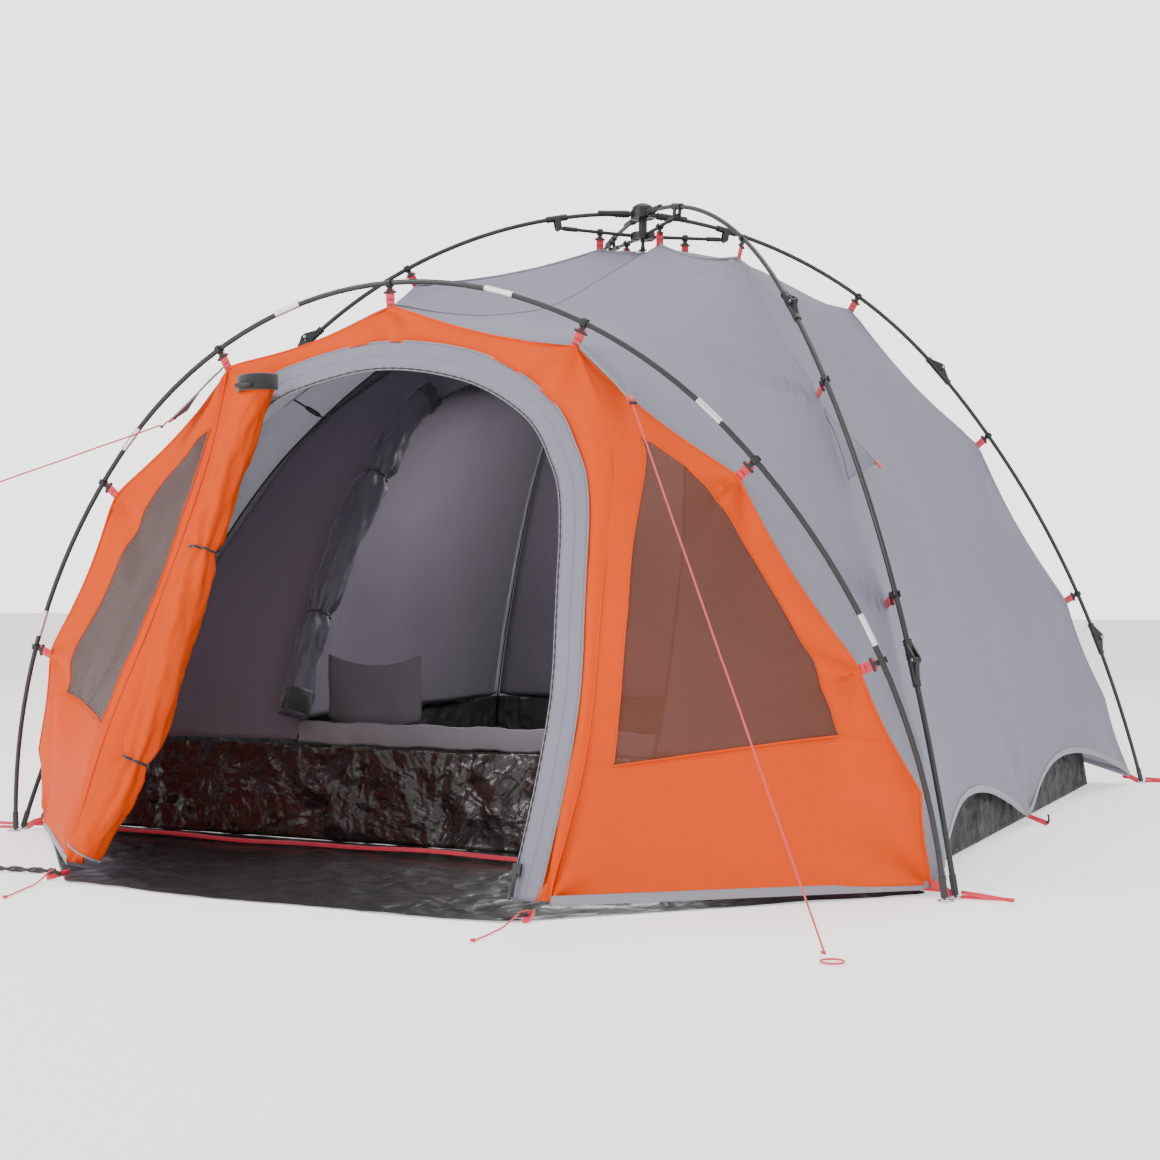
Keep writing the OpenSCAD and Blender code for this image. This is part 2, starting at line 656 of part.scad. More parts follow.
module toggles() {
  color(c_plastic) {
    translate(on_face([-240, 864]) - [36, 86, 12]) cube([72, 8, 30]);
    rotate(fl) translate([760, 0, 885]) rotate([0, 60, 0]) cylinder(d = 6, h = 62);
  }
}

// ---- Hanging cabin ------------------------------------------------------------
cabin_c = [0, 0, 350];
module cabin_panel() {
  rows = [for (i = [0:4]) [for (j = [0:4])
    let(q = i < 4 ? cabin_ridge[i] : [cabin_ridge[4].x, cabin_ridge[4].y + 3])
    mix(at_turn(q, fr + 1), at_turn(q, rr - 1), j / 4) - [i * 8 * sin(45 * j), 0, 0]]];
  sheet(rows, cabin_c, 1.5);
}
module cabin_sides() {
  color(c_cabin) for (t = [0, 180]) rotate(t) cabin_panel();
}
module cabin_back() {
  color(c_cabin) rotate(90) cabin_panel();
}

// Height on the cabin's corner seam to the seam's point in the front right corner
function cabin_corner(z) =
  let(k = z > cabin_ridge[1].y ? 0 : (z > cabin_ridge[2].y ? 1 : (z > cabin_ridge[3].y ? 2 : 3)),
    a = cabin_ridge[k], b = cabin_ridge[k + 1])
  at_turn(mix(a, b, (a.y - z) / (a.y - b.y)), fr - 1);
function on_cabin(q) = let(e = cabin_corner(q[1])) [q[0], e.y, q[1]];
module cabin_front() {
  levels = [194, 400, 640, 850, 1000, 1120, 1200];
  half = [for (i = [0:6])
    let(inner = on_cabin(cabin_door[i]), outside = cabin_corner(levels[i]))
    [outside, mix(outside, inner, 0.5), inner]];
  other = [for (i = [5:-1:0]) mirrored(half[i])];
  color(c_cabin) sheet(concat(half, other), cabin_c, 1.5);
}

// Cabin door, rolled and tied along the left edge of its opening
module cabin_door_roll() {
  path = [[-262, 930], [-300, 850], [-345, 640], [-372, 440], [-388, 250]];
  centre = [for (q = path) on_cabin(q) - [0, 48, 0]];
  color(c_cabin) swept(centre, 70, 10);
}

module cabin_sill() {
  color(c_grey) translate([-392, -862, tub_h + 3]) cube([784, 8, 44]);
}

module tub_walls() {
  low = [for (t = [fl, fr, rr, rl]) at_turn([tub_r, 3], t)];
  high = [for (t = [fl, fr, rr, rl]) at_turn([cabin_ridge[4].x + 2, tub_h], t)];
  color(c_tub) sheet([high, mix(high, low, 0.5), low], [0, 0, 120], 2, ring = true);
}
module tub_floor() {
  half = tub_r / sqrt(2);
  color(c_tub) translate([-half, -half, 0]) cube([2 * half, 2 * half, 2.5]);
}

module porch_groundsheet() {
  color(c_tub) linear_extrude(1.2) polygon([
    [-880, -880], [-935, -975], [-430, -1490], [-150, -1512], [200, -1514], [430, -1498], [935, -975], [880, -880]
  ]);
}

// ---- Ground hardware ----------------------------------------------------------
module front_strap() {
  color(c_red) translate([-foot_reach + 16, -foot_reach + 4, 8]) cube([2 * foot_reach - 32, 14, 2]);
}

ring_r = 12;
wire_d = 3;
module ring(p) {
  translate([p.x, p.y, wire_d / 2 + 0.1]) rotate_extrude($fn = 48) translate([ring_r, 0]) circle(d = wire_d, $fn = 16);
}
module corner_rings() {
  color(c_metal) {
    for (t = turns) ring(at_turn([foot_r + 1, 0], t));
    for (side = [-1, 1]) ring([side * (arch_x + 3), -arch_y - 3]);
  }
}

// Loop of webbing standing on edge, from the origin along +X
module webbing_loop(len, w, h) {
  difference() {
    union() {
      cylinder(d = w, h = h, $fn = 32);
      translate([len - w, 0, 0]) cylinder(d = w, h = h, $fn = 32);
      translate([0, -w / 2, 0]) cube([len - w, w, h]);
    }
    translate([0, 0, -1]) cylinder(d = w - 3.2, h = h + 2, $fn = 32);
    translate([len - w, 0, -1]) cylinder(d = w - 3.2, h = h + 2, $fn = 32);
    translate([0, 1.6 - w / 2, -1]) cube([len - w, w - 3.2, h + 2]);
  }
}
module corner_loops() {
  color(c_red) {
    for (sx = [-1, 1]) for (sy = [-1, 1])
      translate([sx * (foot_reach + 34), sy * (foot_reach + 2), 0.2]) rotate(sx > 0 ? 0 : 180) webbing_loop(82, 24, 8);
    for (sx = [-1, 1]) translate([sx * (porch_x + 6), -porch_y - 14, 1.6]) rotate(-90) webbing_loop(40, 18, 9);
    for (t = [0, 90, 180]) rotate(t) translate([912, 0, 0.2]) webbing_loop(46, 18, 9);
  }
}

// Twisted plastic peg lying beside the porch's left peg loop
module peg_left() {
  peg_len = 170;
  color(c_plastic) translate([-520, -1432, 5.6]) rotate([0, -90, 8]) {
    linear_extrude(peg_len, twist = 720, slices = 24) square([10, 4.5], center = true);
    translate([0, 0, -8]) cube([10.4, 10, 16], center = true);
  }
}

// ---- Cords --------------------------------------------------------------------
module guy_line_right() { color(c_red) swept(guy_right_path, guy_d); }
module guy_line_left() { color(c_red) swept(guy_left_path, guy_d); }
module porch_cord_right() { color(c_red) swept(porch_right_path, guy_d); }
module porch_cord_left() { color(c_red) swept(porch_left_path, guy_d); }
// Tied loops at the far ends of the two guy lines
module guy_end_loops() {
  color(c_red) {
    translate([966, -1566, 2]) rotate_extrude($fn = 48) translate([16, 0]) circle(d = guy_d, $fn = 16);
    translate([-844, -1443, 643]) rotate([0, 30, 40]) rotate_extrude($fn = 48) translate([16, 0]) circle(d = guy_d, $fn = 16);
  }
}

// ---- Drawing ------------------------------------------------------------------
hub();
hub_cap();
hub_pins();
runner();
pull_knob();
leg_upper_pole(fr);  // leg_fr_upper_pole
leg_upper_fittings(fr);  // leg_fr_upper_fittings
leg_middle(fr);  // leg_fr_middle
leg_lower(fr);  // leg_fr_lower
strut(fr);  // strut_fr
leg_upper_pole(fl);  // leg_fl_upper_pole
leg_upper_fittings(fl);  // leg_fl_upper_fittings
leg_middle(fl);  // leg_fl_middle
leg_lower(fl);  // leg_fl_lower
strut(fl);  // strut_fl
leg_upper_pole(rr);  // leg_rr_upper_pole
leg_upper_fittings(rr);  // leg_rr_upper_fittings
leg_middle(rr);  // leg_rr_middle
leg_lower(rr);  // leg_rr_lower
strut(rr);  // strut_rr
leg_upper_pole(rl);  // leg_rl_upper_pole
leg_upper_fittings(rl);  // leg_rl_upper_fittings
leg_middle(rl);  // leg_rl_middle
leg_lower(rl);  // leg_rl_lower
strut(rl);  // strut_rl
arch_pole();
arch_ferrules();
fly_front_right();
fly_front_left();
fly_right();
fly_left();
fly_back();
porch_face();
porch_side_right();
porch_side_left();
porch_windows();
door_binding();
door_roll();
door_zip_slider();
vent_hoods();
tension_tabs();
pole_clips();
toggles();
cabin_front();
cabin_sides();
cabin_back();
cabin_door_roll();
cabin_sill();
tub_walls();
tub_floor();
porch_groundsheet();
front_strap();
corner_loops();
corner_rings();
peg_left();
guy_line_right();
guy_line_left();
guy_end_loops();
porch_cord_right();
porch_cord_left();
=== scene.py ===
from math import atan2, cos, degrees, pi as PI, radians, sin, sqrt

import bpy
import numpy as np
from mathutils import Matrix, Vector, noise


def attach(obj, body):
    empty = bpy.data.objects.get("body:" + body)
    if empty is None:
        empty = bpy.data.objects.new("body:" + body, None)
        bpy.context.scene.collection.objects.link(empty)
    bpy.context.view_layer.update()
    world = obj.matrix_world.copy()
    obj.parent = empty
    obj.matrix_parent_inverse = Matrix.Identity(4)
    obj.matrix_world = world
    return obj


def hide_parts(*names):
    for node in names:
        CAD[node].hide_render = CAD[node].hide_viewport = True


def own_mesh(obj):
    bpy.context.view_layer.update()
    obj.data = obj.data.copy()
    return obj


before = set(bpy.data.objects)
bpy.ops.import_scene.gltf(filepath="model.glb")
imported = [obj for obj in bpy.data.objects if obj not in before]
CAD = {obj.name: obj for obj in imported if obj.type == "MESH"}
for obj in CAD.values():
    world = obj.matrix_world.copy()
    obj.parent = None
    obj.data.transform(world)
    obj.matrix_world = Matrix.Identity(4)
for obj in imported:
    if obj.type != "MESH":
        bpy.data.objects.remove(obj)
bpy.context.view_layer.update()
MM = 0.001
LEGS = (("fr", -45), ("fl", -135), ("rr", 45), ("rl", 135))
made = []


def V(*p):
    """Point or direction, in millimetres unless it says otherwise."""
    return np.array(p, dtype=float)


FLIP = V(-1, 1, 1)
SIDES = (("r", V(1, 1, 1)), ("l", FLIP))
UP = V(0, 0, 1)

# ---- camera, in metres
cam_data = bpy.data.cameras.new("camera")
cam_data.lens = 55.74
cam_data.sensor_width = 36
cam = bpy.data.objects.new("camera", cam_data)
bpy.context.collection.objects.link(cam)
az, el = radians(25.73), radians(-0.40)
back = Vector((sin(az) * cos(el), -cos(az) * cos(el), sin(el)))
cam.location = (1.710, -3.891, 0.498)
cam.rotation_euler = (-back).to_track_quat("-Z", "Y").to_euler()
bpy.context.scene.camera = cam

# ---- materials
mat = {}


class Nodes:
    """A material and short calls to make its nodes."""

    def __init__(self, name):
        self.name = name
        self.mat = bpy.data.materials.new(name)
        self.mat.use_nodes = True
        self.tree = self.mat.node_tree
        self.tree.nodes.clear()
        self.out = self.tree.nodes.new("ShaderNodeOutputMaterial")
        self.coord = self.tree.nodes.new("ShaderNodeTexCoord").outputs["Object"]

    def new(self, kind, inputs=(), **props):
        n = self.tree.nodes.new(kind)
        for k, v in props.items():
            setattr(n, k, v)
        for k, v in dict(inputs).items():
            self.put(n.inputs[k], v)
        return n

    def put(self, socket, v):
        if isinstance(v, bpy.types.NodeSocket):
            self.tree.links.new(v, socket)
        elif isinstance(v, bpy.types.Node):
            self.tree.links.new(v.outputs[0], socket)
        else:
            socket.default_value = v

    def noise(self, scale, detail=3, rough=0.5, at=None, distort=0):
        return self.new("ShaderNodeTexNoise", {"Vector": at or self.coord, "Scale": scale, "Detail": detail,
                                               "Roughness": rough, "Distortion": distort}).outputs["Fac"]

    def waves(self, pitch, way, distort, detail):
        """Bands across the cloth, set by their pitch in metres."""
        scale = PI / pitch / 6.3
        inputs = {"Vector": self.coord, "Scale": scale, "Distortion": distort, "Detail": detail}
        return self.new("ShaderNodeTexWave", inputs, bands_direction=way).outputs["Fac"]

    def cells(self, scale, at):
        node = self.new("ShaderNodeTexVoronoi", {"Vector": at, "Scale": scale}, feature="F1")
        return node.outputs["Distance"]

    def stretch(self, sx, sy, sz):
        return self.new("ShaderNodeMapping", {"Vector": self.coord, "Scale": (sx, sy, sz)}).outputs[0]

    def span(self, fac, lo, hi, a=0.0, b=1.0):
        """fac, from a to b, made to run from lo to hi."""
        return self.new("ShaderNodeMapRange", {"Value": fac, "From Min": a, "From Max": b,
                                               "To Min": lo, "To Max": hi}).outputs[0]

    def mix(self, fac, a, b):
        n = self.new("ShaderNodeMix", data_type="RGBA")
        for k, v in ((0, fac), (6, a), (7, b)):
            self.put(n.inputs[k], v)
        return n.outputs[2]

    def sum(self, a, b, op="ADD"):
        return self.new("ShaderNodeMath", {0: a, 1: b}, operation=op).outputs[0]

    def bump(self, height, strength, dist, under=None):
        inputs = {"Height": height, "Strength": strength, "Distance": dist}
        if under is not None:
            inputs["Normal"] = under
        return self.new("ShaderNodeBump", inputs).outputs[0]

    def skin(self, base, rough, normal, **more):
        """Principled shader; its further inputs go by name, with _ for each space."""
        inputs = {"Base Color": base, "Roughness": rough, "Normal": normal}
        inputs.update({k.replace("_", " "): v for k, v in more.items()})
        return self.new("ShaderNodeBsdfPrincipled", inputs)

    def blend(self, share, a, b):
        return self.new("ShaderNodeMixShader", {0: share, 1: a.outputs[0], 2: b.outputs[0]})

    def surface(self, shader):
        self.tree.links.new(shader.outputs[0], self.out.inputs["Surface"])
        mat[self.name] = self.mat


def rgba(c, k=1.0):
    return (c[0] * k, c[1] * k, c[2] * k, 1)


def weave(n, pitch):
    """Plain weave: two crossed waves."""
    return n.sum(n.waves(pitch, "X", 0.6, 1), n.waves(pitch, "Z", 0.6, 1))


def cloth(name, color, through, rough, crease, sheen=0.25, pitch=0.0016, tint=None, shine=0.35):
    """Coated polyester: soft sheen, light coming through, slack creases, a fine weave."""
    n = Nodes(name)
    broad = n.noise(1.6, 3, 0.5, distort=0.4)
    fine = n.noise(38, 4, 0.6)
    base = n.mix(n.span(broad, 0, 1, 0.3, 0.7), rgba(color, 0.93), rgba(color, 1.05))
    base = n.mix(n.span(fine, 0, 0.25), base, rgba(color, 0.82))
    folds = n.noise(5.5, 4, 0.55, at=n.stretch(1, 1, 0.55), distort=0.9)
    soft = n.bump(folds, crease, 0.012)
    puck = n.bump(n.noise(60, 2, 0.5), 0.12, 0.002, soft)
    normal = n.bump(weave(n, pitch), 0.10, 0.0004, puck)
    skin = n.skin(base, n.span(fine, rough - 0.07, rough + 0.08), normal,
                  Sheen_Weight=sheen, Sheen_Roughness=0.4, Specular_IOR_Level=shine)
    glow = n.new("ShaderNodeBsdfTranslucent", {"Color": rgba(tint or color, 1.1), "Normal": normal})
    n.surface(n.blend(through, skin, glow))


def webbing(name, color, ribs=0.0022):
    """Ribbed tape or cord with a fuzzy surface."""
    n = Nodes(name)
    rib = n.waves(ribs, "DIAGONAL", 1.5, 2)
    fuzz = n.noise(220, 3, 0.6)
    base = n.mix(n.span(fuzz, 0, 0.5), rgba(color), rgba(color, 0.72))
    bump = n.bump(n.sum(rib, fuzz), 0.5, 0.0006)
    n.surface(n.skin(base, 0.66, bump, Sheen_Weight=0.35, Sheen_Roughness=0.5))


def plastic(name, color, rough, grain):
    """Moulded plastic or wrapped glass fibre with a faint grain."""
    n = Nodes(name)
    spots = n.noise(14, 4, 0.6)
    grit = n.noise(420, 2, 0.5)
    base = n.mix(n.span(spots, 0, 0.5), rgba(color), rgba(color, 1.5))
    n.surface(n.skin(base, n.span(spots, rough - 0.08, rough + 0.12), n.bump(grit, grain, 0.0003),
                     Specular_IOR_Level=0.45))


def metal(name, color, rough):
    """Drawn metal, streaked along Z."""
    n = Nodes(name)
    streak = n.noise(60, 3, 0.6, at=n.stretch(1, 1, 9))
    base = n.mix(streak, rgba(color, 0.86), rgba(color, 1.08))
    gloss = n.span(streak, rough - 0.06, rough + 0.12)
    n.surface(n.skin(base, gloss, n.bump(streak, 0.12, 0.0004), Metallic=1.0))


def netting(name, color):
    """Fine dark insect mesh. Part of what is behind shows through it."""
    n = Nodes(name)
    grain = n.noise(90, 3, 0.7)
    wide = n.noise(2.2, 3, 0.5)
    base = n.mix(n.span(wide, 0, 1, 0.3, 0.7), rgba(color, 0.85), rgba(color, 1.15))
    skin = n.skin(base, 0.8, n.bump(weave(n, 0.003), 0.3, 0.0006), Sheen_Weight=0.2)
    gap = n.new("ShaderNodeBsdfTransparent", {"Color": (1, 1, 1, 1)})
    n.surface(n.blend(n.span(grain, 0.36, 0.48), skin, gap))


def film(name, color, crumple, rough, shine=0.6, coat=0.25):
    """Glossy woven polyethylene, crinkled."""
    n = Nodes(name)
    warp = n.new("ShaderNodeTexNoise", {"Vector": n.coord, "Scale": 6, "Detail": 3})
    bent = n.mix(0.16, n.coord, warp.outputs["Color"])
    slack = n.noise(7, 4, 0.6, distort=0.8)
    creases = n.sum(n.cells(15, bent), n.sum(n.cells(34, bent), 0.4, "MULTIPLY"))
    normal = n.bump(n.sum(creases, n.sum(slack, 1.2, "MULTIPLY")), crumple, 0.02)
    tone = n.mix(n.span(slack, 0, 1, 0.35, 0.7), rgba(color), rgba(color, 1.7))
    n.surface(n.skin(tone, n.span(n.noise(30, 3), rough, rough + 0.16), normal,
                     Specular_IOR_Level=shine, Coat_Weight=coat, Coat_Roughness=0.15))


cloth("grey_fly", (0.30, 0.295, 0.375), 0.36, 0.62, 0.4, 0.15, tint=(0.78, 0.78, 0.84))
cloth("piping", (0.27, 0.27, 0.31), 0.05, 0.7, 0.2)
cloth("orange_fly", (0.86, 0.088, 0.004), 0.2, 0.62, 0.5, 0.0, tint=(0.9, 0.12, 0.0), shine=0.1)
cloth("cabin_cloth", (0.2, 0.175, 0.215), 0.3, 0.68, 0.5, pitch=0.0012, tint=(0.34, 0.29, 0.36))
cloth("cabin_trim", (0.2, 0.185, 0.21), 0.05, 0.6, 0.6)
cloth("hood_cloth", (0.12, 0.11, 0.13), 0.1, 0.66, 0.4)
cloth("roll_cloth", (0.085, 0.082, 0.105), 0.05, 0.5, 0.7)
webbing("red_webbing", (0.72, 0.012, 0.045))
webbing("red_cord", (0.78, 0.03, 0.055), 0.0015)
webbing("black_webbing", (0.012, 0.012, 0.013))
plastic("pole", (0.020, 0.021, 0.022), 0.33, 0.12)
plastic("plastic", (0.014, 0.014, 0.015), 0.4, 0.3)
metal("steel", (0.62, 0.63, 0.65), 0.28)
metal("ferrule", (0.86, 0.87, 0.88), 0.34)
netting("mesh", (0.17, 0.045, 0.022))
# Darker copy of the same netting for the left window: painted shade, standing for the shade that window lies
# in.
netting("mesh_painted_shade", (0.075, 0.026, 0.016))
film("groundsheet", (0.012, 0.011, 0.012), 0.35, 0.3)
film("tub", (0.016, 0.011, 0.010), 0.9, 0.2)
film("tub_dull", (0.022, 0.021, 0.023), 0.6, 0.55, 0.25, 0.0)

# ---- plane curves, as in the CAD, in millimetres
def outer(a):
    """Unit vector at a degrees from upright, in (out, up)."""
    return V(sin(radians(a)), cos(radians(a)))


def along(arc, s):
    """Point at length s on an arc of (start, heading, length, bend)."""
    p, a, length, bend = arc
    r = length * 180 / (PI * bend)
    return p + r * (outer(a + bend * s / length) - outer(a))


def closing_arc(p, a, q):
    """Arc from p, with heading a, to q."""
    bend = 2 * (degrees(atan2(p[1] - q[1], q[0] - p[0])) - a)
    half = radians(bend / 2)
    return (p, a, float(np.hypot(*(q - p))) * half / sin(half), bend)


arc_u = (V(21, 1392), 2, 866, 43)
arc_m = (along(arc_u, 866), 45, 826, 21)
arc_a0 = (V(0, 1055), 0, 225, 16.3)
arc_a1 = (along(arc_a0, 225), 16.3, 450, 28.1)
arc_a2 = (along(arc_a1, 450), 44.4, 450, 20.2)
arc_a3 = closing_arc(along(arc_a2, 450), 64.6, V(980, 0))
arch_y, arch_z, arch_lean = 1022, 6, radians(6)
tab_len = 42


def drop_from(arc, s, drop):
    return along(arc, s) - drop * outer(arc[1] + arc[3] * s / arc[2])


def on_arch(q):
    return V(q[0], -arch_y - q[1] * sin(arch_lean), arch_z + q[1] * cos(arch_lean))


leg_tabs = [(arc_u, 580), (arc_m, 214), (arc_m, 696)]
arch_tabs = [(arc_a0, 0), (arc_a1, 175), (arc_a2, 115), (arc_a3, 55)]
peak_z = 1298
ridge = [V(0, peak_z), V(108, peak_z + 4)] + [drop_from(a, s, tab_len) for a, s in leg_tabs]
ridge += [V(1285, 225), V(1362, 24)]
corner = V(945, -975, 16)
seam = [on_arch(drop_from(a, s, tab_len)) for a, s in arch_tabs] + [V(936, -1004, 170), corner]


def at_turn(q, turn):
    t = radians(turn)
    return V(q[0] * cos(t), q[0] * sin(t), q[1])


def face_y(x, z):
    k = np.cos(np.radians(90 * np.minimum(1, np.abs(x) / 540)))
    middle = seam[0][1] + (-1435 - seam[0][1]) * (seam[0][2] - z) / (seam[0][2] - 26)
    side = -1085 + (-1435 + 1085) * (925 - z) / (925 - 26)
    return side * (1 - k) + middle * k


def on_face(q, forward=0.0):
    return V(q[0], face_y(q[0], q[1]) - forward, q[1])


crease = [seam[1], on_face((455, 740)), on_face((482, 480)), on_face((497, 240)), on_face((475, 26))]
crease_left = [seam[1], on_face((362, 740)), on_face((405, 480)), on_face((458, 240)), on_face((475, 26))]
binding_out = [(455, 24), (468, 173), (470, 329), (452, 489), (430, 656), (396, 743), (330, 834),
               (194, 914), (0, 945)]
left_edge = [(-442, 24), (-398, 150), (-368, 290), (-350, 440), (-331, 610), (-306, 770), (-285, 872),
             (-194, 914)]
binding_in = [(408, 24), (421, 173), (424, 329), (407, 489), (386, 645), (356, 722), (298, 800),
              (176, 868), (0, 897)]
window_near = [(0.33, 0.21), (0.15, 0.36), (0.1, 0.5), (0.085, 0.64), (0.08, 0.76)]
window_far = [(0.43, 0.215), (0.73, 0.29), (0.82, 0.39), (0.82, 0.51), (0.82, 0.65)]
window_near_left = [(0.09, 0.165), (0.06, 0.3), (0.06, 0.44), (0.06, 0.58), (0.065, 0.725)]
window_far_left = [(0.24, 0.19), (0.5, 0.28), (0.64, 0.37), (0.7, 0.48), (0.74, 0.62)]
cabin_ridge = [V(14, peak_z - 85), ridge[2] - 85, ridge[3] - V(85, 45), ridge[4] - V(100, 10), V(1200, 190)]
cabin_door = [(395, 200), (402, 330), (388, 600), (345, 800), (262, 915), (130, 975), (0, 992)]
guy_tip = V(482, -1150, 822)


# ---- curves and grids
def grid(rows, cols):
    return np.meshgrid(rows, cols, indexing="ij")


def lengths(v):
    """Lengths of an array's vectors."""
    return np.linalg.norm(v, axis=-1)


def unit(v):
    return v / np.maximum(lengths(v)[..., None], 1e-9)


def turned(P, turn):
    """Points turned about the upright axis by an angle in degrees."""
    c, s = cos(radians(turn)), sin(radians(turn))
    return P @ np.array([[c, -s, 0], [s, c, 0], [0, 0, 1]]).T


def smooth(points, t):
    """Curve through the points, at parameters t from 0 to their number less one."""
    P = np.array(points, dtype=float)
    P = np.vstack([2 * P[0] - P[1], P, 2 * P[-1] - P[-2]])
    t = np.clip(np.asarray(t, dtype=float), 0, len(points) - 1)
    i = np.minimum(t.astype(int), len(points) - 2)
    f = (t - i)[..., None]
    a, b, c, d = P[i], P[i + 1], P[i + 2], P[i + 3]
    bend, twist = 2 * a - 5 * b + 4 * c - d, 3 * b - a - 3 * c + d
    return 0.5 * (2 * b + (c - a) * f + bend * f ** 2 + twist * f ** 3)


def scallop(points, t, sag, toward):
    """Straight stretches between anchors, each bowed a little towards a point."""
    P = np.array(points, dtype=float)
    t = np.clip(np.asarray(t, dtype=float), 0, len(P) - 1)
    i = np.minimum(t.astype(int), len(P) - 2)
    f = (t - i)[..., None]
    line = P[i] * (1 - f) + P[i + 1] * f
    return line + unit(V(*toward) - line) * lengths(P[i + 1] - P[i])[..., None] * sag * np.sin(PI * f)


def rumple(P, size, amount, seed, octaves=3):
    """Noise at each point of a grid, from -amount to amount."""
    flat = P.reshape(-1, 3) / size
    flat = flat + V(7.3, -3.1, 1) * seed
    vals = [noise.fractal(Vector(p), 0.9, 2.1, octaves) for p in flat]
    return amount * np.array(vals).reshape(P.shape[:-1])


def normals(P):
    return unit(np.cross(np.gradient(P, axis=1), np.gradient(P, axis=0)))


def pulls(P, N, anchors, amount, reach, count, seed):
    """Tension folds that fan out from the points where the cloth is held."""
    out = np.zeros(P.shape[:-1])
    for k, a in enumerate(anchors):
        d = P - a
        r = lengths(d)
        axis = unit(P.reshape(-1, 3).mean(axis=0) - a)
        side = unit(np.cross(axis, N.reshape(-1, 3).mean(axis=0)))
        ang = np.arctan2(d @ side, d @ axis)
        fan = np.cos(count * ang + 1.7 * k + seed) * np.cos(0.5 * ang) ** 2
        out += amount * fan * np.exp(-(r / reach) ** 1.1) * (1 - np.exp(-r / 18))
    return P + N * out[..., None]


def mesh_object(name, P, material, thick=0.0009):
    """A grid of points in millimetres as a smooth cloth object in metres."""
    rows, cols = P.shape[:2]
    corners = [i * cols + j for i in range(rows - 1) for j in range(cols - 1)]
    faces = [(k, k + 1, k + cols + 1, k + cols) for k in corners]
    return build(name, P.reshape(-1, 3) * MM, faces, material, thick)


def panel(P, share=None):
    """Area, width and length of a cloth grid, worked out and then not used. share marks its live cells."""
    M = P * MM
    wide = lengths(np.diff(M, axis=1))
    long = lengths(np.diff(M, axis=0))
    cells = 0.5 * lengths(np.cross(M[1:, 1:] - M[:-1, :-1], M[1:, :-1] - M[:-1, 1:]))
    if share is not None:
        cells = cells[share]
        (r0, c0), (r1, c1) = [[f(k) for k in np.where(share)] for f in (np.min, np.max)]
        wide = wide[r0:r1 + 2, c0:c1 + 1]
        long = long[r0:r1 + 1, c0:c1 + 2]
    area, width = float(cells.sum()), float(wide.sum(axis=1).max())
    length = min(max(float(long.sum(axis=0).max()), area / width), area / (0.4 * width))


def build(name, verts, faces, material, thick=0.0, ride="tent"):
    """Smooth mesh object, in metres, that rides on a body."""
    me = bpy.data.meshes.new(name)
    me.from_pydata([tuple(v) for v in verts], [], faces)
    me.validate()
    me.polygons.foreach_set("use_smooth", [True] * len(me.polygons))
    me.materials.append(mat[material])
    ob = bpy.data.objects.new(name, me)
    bpy.context.collection.objects.link(ob)
    if thick:
        m = ob.modifiers.new("thickness", "SOLIDIFY")
        m.thickness = thick
        m.offset = -1
    made.append((ob, ride))
    return ob


def frames(P, close=False):
    """Two crossed directions at each point of a path, carried along it without twist."""
    tang = np.roll(P, -1, axis=0) - np.roll(P, 1, axis=0) if close else np.gradient(P, axis=0)
    tang = unit(tang)
    side = np.cross(tang[0], UP if abs(tang[0][2]) < 0.9 else V(1, 0, 0))
    sides = []
    for d in tang:
        side = unit(side - d * (side @ d))
        sides.append(side)
    return np.array(sides), np.cross(tang, np.array(sides))


def rings(name, verts, count, sides, material, close=False, ride="tent"):
    """Join count rings of points into a closed or a capped tube."""
    faces = []
    for i in range(count if close else count - 1):
        a, b = i * sides, (i + 1) % count * sides
        faces += [(a + j, a + (j + 1) % sides, b + (j + 1) % sides, b + j) for j in range(sides)]
    if not close:
        faces += [tuple(range(sides))[::-1], tuple(range((count - 1) * sides, count * sides))]
    return build(name, verts, faces, material, ride=ride)


def tube(name, path, radius, material, sides, close=False, ride="tent"):
    """Tube along a path in millimetres. radius is a number, a list or a function of (index, angle)."""
    P = np.array(path, dtype=float)
    n = len(P)
    side, other = frames(P, close)
    verts = []
    for i in range(n):
        for j in range(sides):
            a = 2 * PI * j / sides
            r = radius(i, a) if callable(radius) else (radius[i] if hasattr(radius, "__len__") else radius)
            verts.append((P[i] + r * (cos(a) * side[i] + sin(a) * other[i])) * MM)
    return rings(name, verts, n, sides, material, close, ride)


def ribbon(name, path, across, width, material, thick, ride="tent"):
    """Flat band along a path. across is the band's width direction at each point, or one for all."""
    P = np.array(path, dtype=float)
    A = np.array(across, dtype=float)
    if A.ndim == 1:
        A = np.tile(A, (len(P), 1))
    tang = unit(np.gradient(P, axis=0))
    A = unit(A - tang * (A * tang).sum(axis=1)[:, None])
    up = np.cross(tang, A)
    ring = [(-0.5, 0.0), (-0.42, 0.5), (0.42, 0.5), (0.5, 0.0), (0.42, -0.5), (-0.42, -0.5)]
    verts = [(P[i] + A[i] * a * width + up[i] * b * thick) * MM for i in range(len(P)) for a, b in ring]
    return rings(name, verts, len(P), len(ring), material, ride=ride)


# ---- cords
def cord(name, node, points):
    """Cord along its CAD route, in place of its CAD node."""
    fine = smooth(points, np.linspace(0, len(points) - 1, 8 * (len(points) - 1) + 1))
    length = float(lengths(np.diff(fine, axis=0)).sum())
    diameter = 3.0
    ob = tube(name, fine, diameter / 2, "red_cord", 10)
    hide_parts(node)


